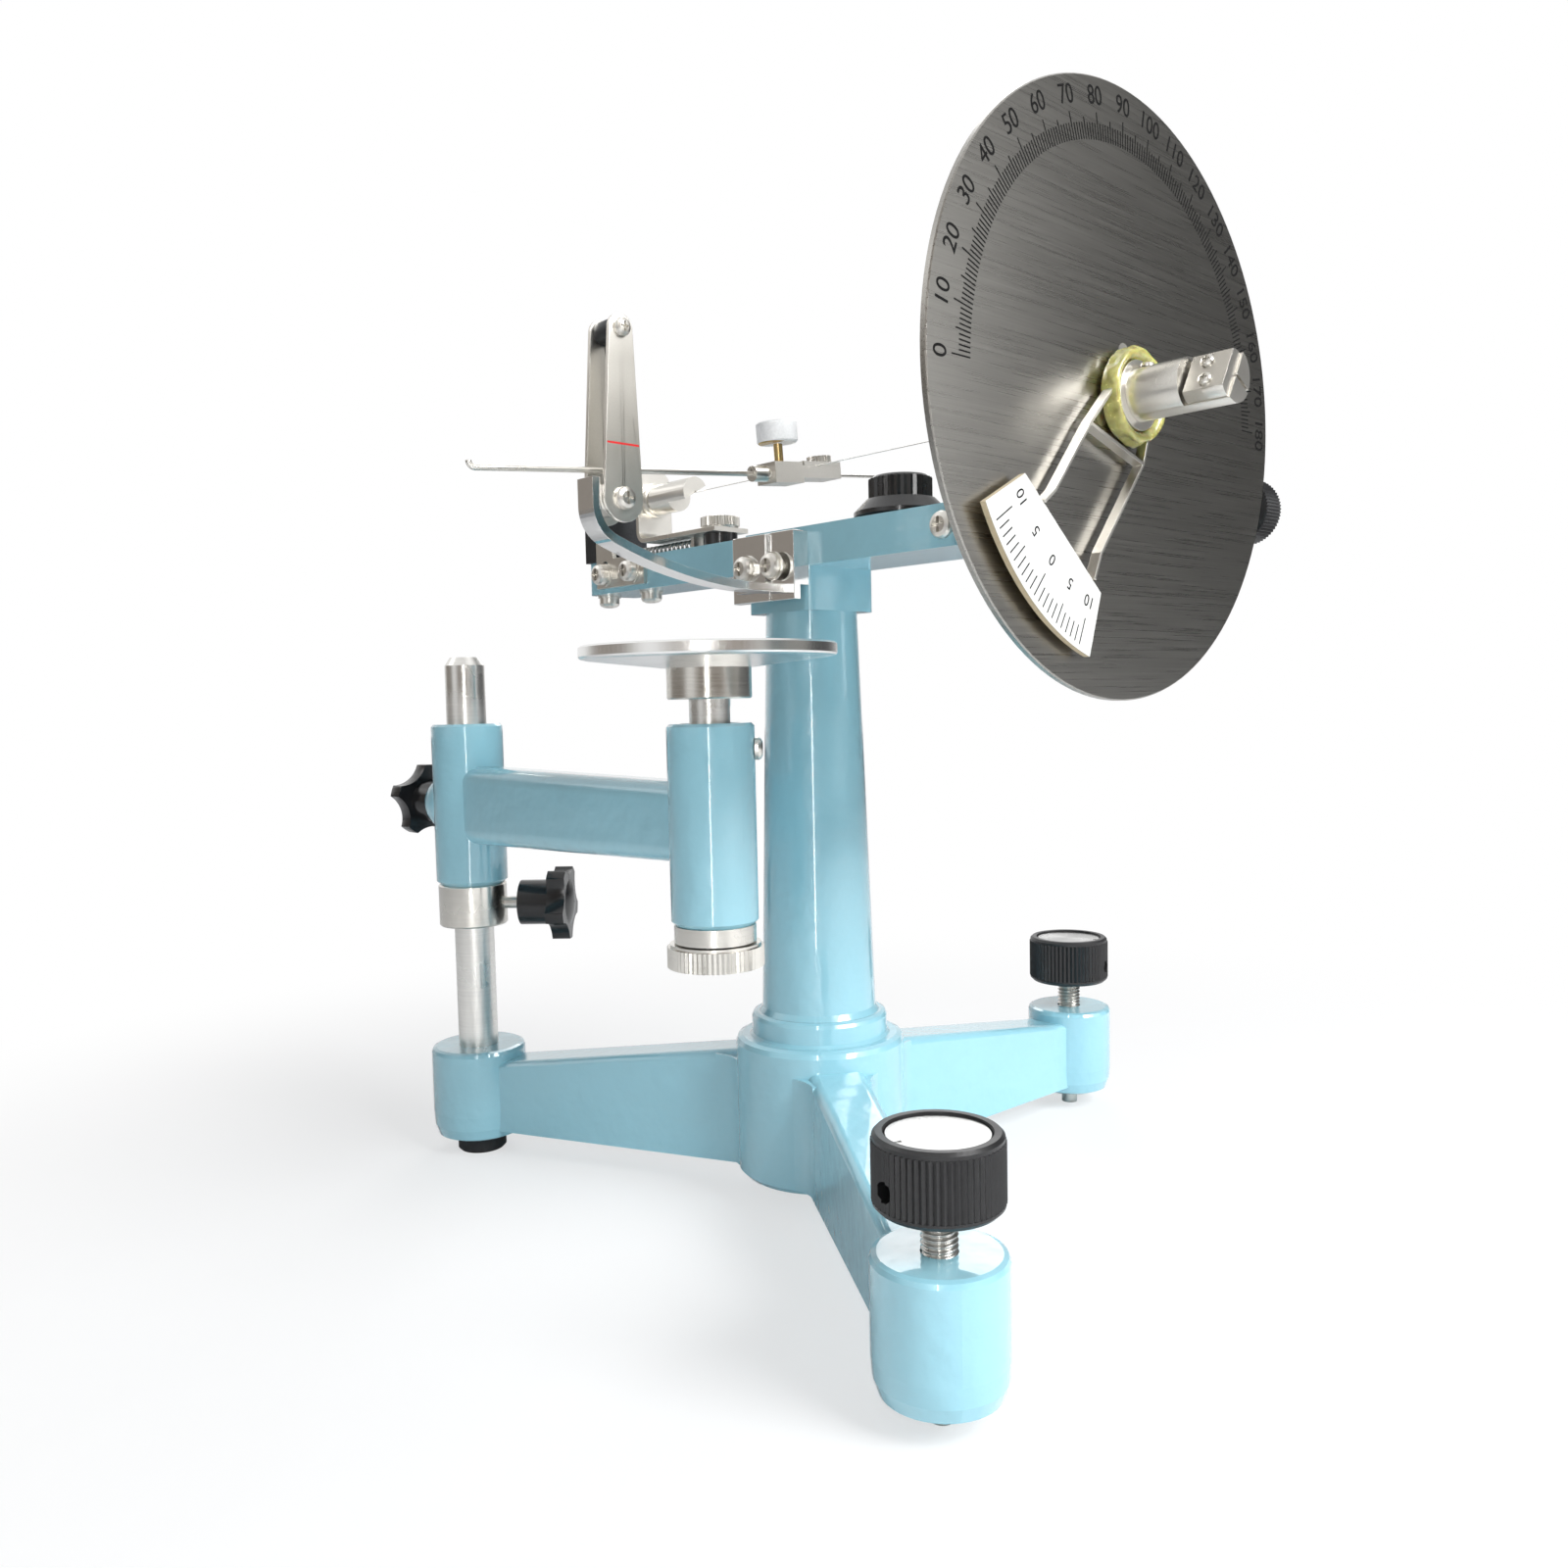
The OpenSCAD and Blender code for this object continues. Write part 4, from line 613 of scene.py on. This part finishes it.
def scale_piece(name, shape, material, body):
    """Turns a bmesh of marks into a piece."""
    mesh = bpy.data.meshes.new(name)
    shape.to_mesh(mesh)
    shape.free()
    return placed(name, mesh, material, body)


def add_letters(shape, words, size, matrix):
    """Adds a word to a scale's mesh."""
    mesh = lettering(words, size)
    mesh.transform(matrix)
    shape.from_mesh(mesh)
    bpy.data.meshes.remove(mesh)


# ---- operators ----


class TENSIOMETER_OT_castings(bpy.types.Operator):
    """Enamel the base, column, beam, bearing block and stage arm"""

    bl_idname = "tensiometer.castings"
    bl_label = "Enamelled Castings"

    def execute(self, context):
        settings = context.scene.tensiometer_stand
        enamel = enamel_finish(settings)
        finish_nodes(("tripod_base", "column", "stage_arm"), enamel)
        finish_nodes(("beam", "bearing_block"), enamel, settings.edge_round, 3)
        return {"FINISHED"}


class TENSIOMETER_OT_metal(bpy.types.Operator):
    """Finish the ground, plated and blackened metal parts"""

    bl_idname = "tensiometer.metal"
    bl_label = "Metal Parts"

    def execute(self, context):
        settings = context.scene.tensiometer_stand
        nickel_colour = tuple(settings.nickel_colour)
        steel_colour = tuple(settings.steel_colour)
        nickel = surface("Satin Nickel", nickel_colour, 0.31, 1.0, 2600, ripple=0.000002,
                         tone=0.05, rough_spread=0.04)
        turned = surface("Turned Nickel", nickel_colour, 0.24, 1.0, 1500, (40, 40, 1), 0.00001,
                         0.08)
        ground = surface("Ground Steel", steel_colour, 0.3, 1.0, 1600, (40, 40, 1), 0.000012, 0.1)
        drawn = surface("Drawn Steel", steel_colour, 0.3, 1.0, 2200, (1, 40, 1), 0.000006, 0.08)
        chrome = surface("Chrome", (0.78, 0.78, 0.77), 0.09, 1.0, 500, ripple=0.000008,
                         tone=0.03, rough_spread=0.04)
        black_steel = surface("Blackened Steel", (0.045, 0.047, 0.05), 0.42, 0.85, 1400, tone=0.25)
        brass = surface("Machined Brass", (0.66, 0.46, 0.18), 0.26, 1.0, 1500, (1, 30, 1), 0.00001,
                        0.1)
        finish_nodes(("stage_post", "spindle", "column_bolt", "lift_screw"), ground)
        finish_nodes(("worm_shaft", "shaft_collar", "torsion_wire"), drawn)
        finish_nodes(("lock_collar", "guide_bush", "lift_nut", "table_collar"), turned)
        finish_nodes(("key_screw", "pan_screws", "small_screws", "clamp_screws", "screw_washers"),
                     nickel)
        finish_nodes(("side_plate", "fork_plates", "tension_slide", "wire_clamp", "head_shaft",
                      "vernier_arm", "rear_chuck", "thumb_nut", "tension_knob", "lever_rod",
                      "lever_block", "clip_plate", "clip_screw"), nickel, THIN_EDGE)
        finish_nodes(("fork_block", "fork_strip"), chrome, BLOCK_EDGE)
        finish_nodes(("rear_block", "fork_spacer"), black_steel, BLOCK_EDGE)
        finish_nodes(("bearing_bushes", "worm_wheel"), brass)
        table = turned_face("Turned Table", (0.9, 0.9, 0.89), centre_of("table_disc"))
        finish_nodes(("table_disc",), table)
        for name in ("level_inlay_front", "level_inlay_right"):
            inlay = turned_face("Turned Inlay", (0.6, 0.6, 0.59), centre_of(name), 0.2)
            finish_nodes((name,), inlay)
        return {"FINISHED"}


class TENSIOMETER_OT_mouldings(bpy.types.Operator):
    """Finish the black knobs, star knobs, spacers, foot and the white screw"""

    bl_idname = "tensiometer.mouldings"
    bl_label = "Knobs and Mouldings"

    def execute(self, context):
        moulding = (0.012, 0.012, 0.013)
        black = surface("Black Moulding", moulding, 0.24, scale=800, ripple=0.00003, tone=0.3,
                        coat=0.3)
        satin = surface("Satin Black Knob", (0.014, 0.014, 0.015), 0.38, scale=1100,
                        ripple=0.00004, tone=0.3)
        rubber = surface("Black Rubber", (0.02, 0.02, 0.021), 0.75, scale=1500, ripple=0.00008,
                         tone=0.3)
        finish_nodes(("level_knob_front", "level_knob_right", "worm_knob"), satin)
        finish_nodes(("skirt_knob", "slide_spacers"), black)
        finish_nodes(("rubber_foot",), rubber)
        stud = ((0.56, 0.55, 0.53), 1.0, 0.3)
        knob = (moulding, 0.0, 0.2)
        for name in ("collar_star", "arm_star"):
            middle = centre_of(name)
            axis = Vector((middle.x - POST.x, middle.y - POST.y, 0)).normalized()
            split = Vector((POST.x, POST.y, 0)).dot(axis) + STAR_MOULDING[name]
            finish_nodes((name,), two_finishes("Star Knob", stud, knob, axis, split), STAR_EDGE, 3)
        shank = ((0.55, 0.4, 0.18), 1.0, 0.3)
        head = ((0.86, 0.87, 0.87), 0.0, 0.4)
        white = two_finishes("White Screw", shank, head, (0, 0, 1),
                             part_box("lock_screw")[1].z - WHITE_HEAD_H)
        finish_nodes(("lock_screw",), white, BLOCK_EDGE, 3)
        return {"FINISHED"}


class TENSIOMETER_OT_dial(bpy.types.Operator):
    """Brush the dial plate and etch its marks and numbers"""

    bl_idname = "tensiometer.dial"
    bl_label = "Dial Scale"

    def execute(self, context):
        settings = context.scene.tensiometer_dial
        finish_nodes(("dial_plate",), brushed_plate(settings))
        ink = surface("Etched Black", tuple(settings.ink_colour), 0.8, scale=2500, ripple=0.00001,
                      tone=0.35, specular=0.1)
        plane = DIAL.y - INK_LIFT
        shape = bmesh.new()
        for value in range(DIAL_TOP_VALUE + 1):
            length = mark_length(value, DIAL_MARK_LENGTHS)
            place = on_face(plane, DIAL_TOP_VALUE - value, settings.mark_root + length / 2)
            add_mark(shape, place, length, DIAL_MARK_WIDTH)
        marks = scale_piece("dial_marks", shape, ink, "stand")
        shape = bmesh.new()
        for value in range(0, DIAL_TOP_VALUE + 1, DIAL_NUMBER_STEP):
            add_letters(shape, str(value), settings.number_size,
                        on_face(plane, DIAL_TOP_VALUE - value, settings.number_radius))
        scale_piece("dial_numbers", shape, ink, "stand")
        return {"FINISHED"}


class TENSIOMETER_OT_vernier(bpy.types.Operator):
    """Finish the vernier plate and print its scale"""

    bl_idname = "tensiometer.vernier"
    bl_label = "Vernier Scale"

    def execute(self, context):
        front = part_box("vernier_plate")[0].y
        face = ((0.62, 0.62, 0.60), 0.0, 0.5)
        edge = ((0.50, 0.42, 0.28), 0.0, 0.6)
        finish = two_finishes("Vernier Plate", face, edge, (0, 1, 0), front + VERNIER_FACE_DEPTH)
        finish_nodes(("vernier_plate",), finish)
        ink = surface("Vernier Ink", (0.012, 0.012, 0.014), 0.8, scale=2500, ripple=0.00001,
                      tone=0.3, specular=0.1)
        plane = front - INK_LIFT
        step = VERNIER_SPREAD / VERNIER_MARKS
        shape = bmesh.new()
        for i in range(VERNIER_MARKS + 1):
            length = mark_length(i, VERNIER_MARK_LENGTHS)
            angle = VERNIER_TURN + (i - VERNIER_MARKS / 2) * step
            add_mark(shape, on_face(plane, angle, VERNIER_EDGE - length / 2), length,
                     VERNIER_MARK_WIDTH)
        for i, value in enumerate(VERNIER_NUMBERS):
            angle = VERNIER_TURN + (i - len(VERNIER_NUMBERS) // 2) * step * VERNIER_NUMBER_STEP
            add_letters(shape, str(value), VERNIER_NUMBER_SIZE,
                        on_face(plane, angle, VERNIER_NUMBER_RADIUS))
        scale_piece("vernier_scale", shape, ink, "torsion_head")
        return {"FINISHED"}


class TENSIOMETER_OT_fork_mark(bpy.types.Operator):
    """Draw the red index line on the front fork plate"""

    bl_idname = "tensiometer.fork_mark"
    bl_label = "Fork Index Line"

    def execute(self, context):
        low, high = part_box("fork_plates")
        red = surface("Red Index Paint", (0.62, 0.02, 0.02), 0.4, scale=1500, ripple=0.00001,
                      tone=0.15)
        shape = bmesh.new()
        place = face_at((low.x + high.x) / 2 + RED_LINE_SHIFT, low.y - INK_LIFT, RED_LINE_Z)
        add_mark(shape, place, *RED_LINE_SIZE)
        scale_piece("fork_index_line", shape, red, "stand")
        return {"FINISHED"}


class TENSIOMETER_OT_threads(bpy.types.Operator):
    """Cut the threads of the levelling screws and the clamp stud"""

    bl_idname = "tensiometer.threads"
    bl_label = "Threaded Parts"

    def execute(self, context):
        settings = context.scene.tensiometer_threads
        steel = surface("Rolled Thread", (0.58, 0.57, 0.54), 0.28, 1.0, 1800, ripple=0.000008,
                        tone=0.08)
        for name in ("level_screw_front", "level_screw_right"):
            low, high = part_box(name)
            centre = (low + high) / 2
            radius = (high.x - low.x) / 2
            points, faces = threaded_rod(radius, settings.level_pitch, 0.0, high.z, settings.sides,
                                         ((0.0, TIP_LENGTH, radius * TIP_SHARE),))
            points = [(centre.x + x, centre.y + y, z) for x, y, z in points]
            screw = piece(name + "_thread", points, faces, steel, name)
            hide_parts(name)
        low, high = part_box("clamp_stud")
        centre = (low + high) / 2
        points, faces = threaded_rod((high.x - low.x) / 2, settings.stud_pitch, low.z, high.z,
                                     settings.sides)
        points = [(centre.x + x, centre.y + y, z) for x, y, z in points]
        stud = piece("clamp_stud_thread", points, faces, steel, "stand")
        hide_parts("clamp_stud")
        return {"FINISHED"}


class TENSIOMETER_OT_spring(bpy.types.Operator):
    """Wind the tension spring in front of the rear block"""

    bl_idname = "tensiometer.spring"
    bl_label = "Tension Spring"

    def execute(self, context):
        steel = surface("Spring Wire", (0.5, 0.49, 0.47), 0.3, 1.0, 1500, ripple=0.00001, tone=0.1)
        low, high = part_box("tension_spring")
        centre = (low + high) / 2
        outer = (high.x - low.x) / 2
        wire = SPRING_WIRE / 2
        start, end = low.y + wire, high.y - wire
        steps = SPRING_TURNS * SPRING_STEPS
        path = []
        for i in range(steps + 1):
            a = 2 * math.pi * i / SPRING_STEPS
            path.append(Vector((centre.x + (outer - wire) * math.cos(a),
                                start + (end - start) * i / steps,
                                centre.z + (outer - wire) * math.sin(a))))
        points, faces = coil(path, centre, wire, SPRING_SIDES)
        spring = piece("tension_spring_coil", points, faces, steel, None)
        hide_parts("tension_spring")
        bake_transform(spring)
        return {"FINISHED"}


class TENSIOMETER_OT_sealant(bpy.types.Operator):
    """Lay the lumpy beads of sealing compound on the head shaft and the draw bolt"""

    bl_idname = "tensiometer.sealant"
    bl_label = "Sealing Compound"

    def execute(self, context):
        for node, body, colour, inner in BEADS:
            low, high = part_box(node)
            points, faces = lumpy_bead(low, high, inner)
            bead = piece(node + "_bead", points, faces, sealing_compound(colour), body)
            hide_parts(node)
        return {"FINISHED"}


class TENSIOMETER_OT_stage(bpy.types.Operator):
    """Set up the pale floor, soft light and the camera"""

    bl_idname = "tensiometer.stage"
    bl_label = "Studio"

    def execute(self, context):
        scene = context.scene
        scene.view_settings.view_transform = "Standard"
        self.make_floor()
        self.make_world(scene)
        for name, place, width, height, power in LAMPS:
            lamp = bpy.data.lights.new(name, "AREA")
            lamp.shape = "RECTANGLE"
            lamp.size = width
            lamp.size_y = height
            lamp.energy = power
            holder = bpy.data.objects.new(name, lamp)
            holder.location = Vector(place)
            aim = LAMP_AIM - holder.location
            holder.rotation_euler = aim.to_track_quat("-Z", "Y").to_euler()
            scene.collection.objects.link(holder)
        camera = bpy.data.objects.new("camera", bpy.data.cameras.new("camera"))
        camera.data.lens = CAMERA_LENS
        camera.data.sensor_width = CAMERA_SENSOR
        camera.data.clip_start, camera.data.clip_end = CAMERA_CLIP
        turn, fall, roll = (math.radians(v) for v in (CAMERA_TURN, CAMERA_FALL, CAMERA_ROLL))
        ahead = Vector((-math.sin(turn) * math.cos(fall), math.cos(turn) * math.cos(fall),
                        -math.sin(fall)))
        right = Vector((math.cos(turn), math.sin(turn), 0))
        up = right.cross(ahead)
        side = math.cos(roll) * right + math.sin(roll) * up
        top = -math.sin(roll) * right + math.cos(roll) * up
        place = Vector((COLUMN.x, COLUMN.y, 0)) + CAMERA_FROM_COLUMN
        camera.matrix_world = Matrix(((side.x, top.x, -ahead.x, place.x),
                                      (side.y, top.y, -ahead.y, place.y),
                                      (side.z, top.z, -ahead.z, place.z),
                                      (0, 0, 0, 1)))
        scene.collection.objects.link(camera)
        scene.camera = camera
        return {"FINISHED"}

    def make_floor(self):
        """Pale sheet under the feet that fades to white for the camera."""
        material, nodes, links, shader = new_material("Pale Paper")
        cloud = grain(nodes, links, 4, 3.0)
        links.new(tinted(nodes, links, cloud, (0.86, 0.865, 0.87), (0.93, 0.932, 0.935)),
                  shader.inputs["Base Color"])
        links.new(spread(nodes, links, cloud, 0.8, 0.95), shader.inputs["Roughness"])
        fibres = grain(nodes, links, 30, 2.0)
        links.new(bumped(nodes, links, fibres, 0.0004), shader.inputs["Normal"])
        white = nodes.new("ShaderNodeEmission")
        path = nodes.new("ShaderNodeLightPath")
        place = nodes.new("ShaderNodeNewGeometry")
        far = nodes.new("ShaderNodeVectorMath")
        far.operation = "LENGTH"
        fade = nodes.new("ShaderNodeMapRange")
        fade.interpolation_type = "SMOOTHSTEP"
        fade.inputs["From Min"].default_value = FLOOR_FADE[0]
        fade.inputs["From Max"].default_value = FLOOR_FADE[1]
        fade.inputs["To Min"].default_value = FLOOR_LEAST_WHITE
        seen = nodes.new("ShaderNodeMath")
        seen.operation = "MULTIPLY"
        mix = nodes.new("ShaderNodeMixShader")
        links.new(place.outputs["Position"], far.inputs[0])
        links.new(far.outputs["Value"], fade.inputs["Value"])
        links.new(fade.outputs["Result"], seen.inputs[0])
        links.new(path.outputs["Is Camera Ray"], seen.inputs[1])
        links.new(seen.outputs[0], mix.inputs["Fac"])
        links.new(shader.outputs["BSDF"], mix.inputs[1])
        links.new(white.outputs["Emission"], mix.inputs[2])
        links.new(mix.outputs["Shader"], nodes["Material Output"].inputs["Surface"])
        mesh = bpy.data.meshes.new("floor")
        corners = ((-1, -1), (1, -1), (1, 1), (-1, 1))
        mesh.from_pydata([(FLOOR_REACH * x, FLOOR_REACH * y, 0) for x, y in corners], [],
                         [(0, 1, 2, 3)])
        mesh.materials.append(material)
        floor = bpy.data.objects.new("floor", mesh)
        bpy.context.scene.collection.objects.link(floor)

    def make_world(self, scene):
        """White to the camera and in reflections, apart from the dim zones; dimmer as light."""
        world = bpy.data.worlds.new("studio")
        world.use_nodes = True
        nodes, links = world.node_tree.nodes, world.node_tree.links
        background = nodes["Background"]
        path = nodes.new("ShaderNodeLightPath")
        place = nodes.new("ShaderNodeTexCoord")
        room = None
        for direction, start, full, dimmest in DIM_ZONES:
            facing = nodes.new("ShaderNodeVectorMath")
            facing.operation = "DOT_PRODUCT"
            facing.inputs[1].default_value = Vector(direction).normalized()
            links.new(place.outputs["Generated"], facing.inputs[0])
            ramp = nodes.new("ShaderNodeMapRange")
            ramp.inputs["From Min"].default_value = start
            ramp.inputs["From Max"].default_value = full
            links.new(facing.outputs["Value"], ramp.inputs["Value"])
            dim = nodes.new("ShaderNodeMix")
            dim.data_type = "RGBA"
            dim.inputs["A"].default_value = (1, 1, 1, 1)
            dim.inputs["B"].default_value = (*dimmest, 1)
            links.new(ramp.outputs["Result"], dim.inputs["Factor"])
            if room is not None:
                links.new(room, dim.inputs["A"])
            room = dim.outputs["Result"]
        mirror = nodes.new("ShaderNodeMix")
        mirror.data_type = "RGBA"
        mirror.inputs["A"].default_value = (*ROOM_LIGHT, 1)
        links.new(path.outputs["Is Glossy Ray"], mirror.inputs["Factor"])
        links.new(room, mirror.inputs["B"])
        seen = nodes.new("ShaderNodeMath")
        seen.operation = "MAXIMUM"
        links.new(path.outputs["Is Camera Ray"], seen.inputs[0])
        links.new(path.outputs["Is Transmission Ray"], seen.inputs[1])
        mix = nodes.new("ShaderNodeMix")
        mix.data_type = "RGBA"
        mix.inputs["B"].default_value = (1, 1, 1, 1)
        links.new(seen.outputs[0], mix.inputs["Factor"])
        links.new(mirror.outputs["Result"], mix.inputs["A"])
        links.new(mix.outputs["Result"], background.inputs["Color"])
        scene.world = world


class TENSIOMETER_PT_panel(bpy.types.Panel):
    """Lists the tensiometer's finishing steps"""

    bl_idname = "TENSIOMETER_PT_panel"
    bl_label = "Tensiometer"
    bl_space_type = "VIEW_3D"
    bl_region_type = "UI"
    bl_category = "Tensiometer"

    def draw(self, context):
        layout = self.layout
        for group in (context.scene.tensiometer_stand, context.scene.tensiometer_dial,
                      context.scene.tensiometer_threads):
            for name in group.__annotations__:
                layout.prop(group, name)
        for step in STEPS:
            layout.operator(step.bl_idname)


STEPS = (
    TENSIOMETER_OT_castings,
    TENSIOMETER_OT_metal,
    TENSIOMETER_OT_mouldings,
    TENSIOMETER_OT_dial,
    TENSIOMETER_OT_vernier,
    TENSIOMETER_OT_fork_mark,
    TENSIOMETER_OT_threads,
    TENSIOMETER_OT_spring,
    TENSIOMETER_OT_sealant,
    TENSIOMETER_OT_stage,
)
GROUPS = {
    "tensiometer_stand": StandSettings,
    "tensiometer_dial": DialSettings,
    "tensiometer_threads": ThreadSettings,
}


def register():
    """Adds the classes and the scene's settings."""
    for group in GROUPS.values():
        bpy.utils.register_class(group)
    for name, group in GROUPS.items():
        setattr(bpy.types.Scene, name, bpy.props.PointerProperty(type=group))
    for step in STEPS:
        bpy.utils.register_class(step)
    bpy.utils.register_class(TENSIOMETER_PT_panel)


def unregister():
    """Removes them again."""
    bpy.utils.unregister_class(TENSIOMETER_PT_panel)
    for step in reversed(STEPS):
        bpy.utils.unregister_class(step)
    for name, group in GROUPS.items():
        delattr(bpy.types.Scene, name)
        bpy.utils.unregister_class(group)


def main():
    """Runs every step."""
    register()
    for step in STEPS:
        group, action = step.bl_idname.split(".")
        getattr(getattr(bpy.ops, group), action)()


if __name__ == "__main__":
    main()
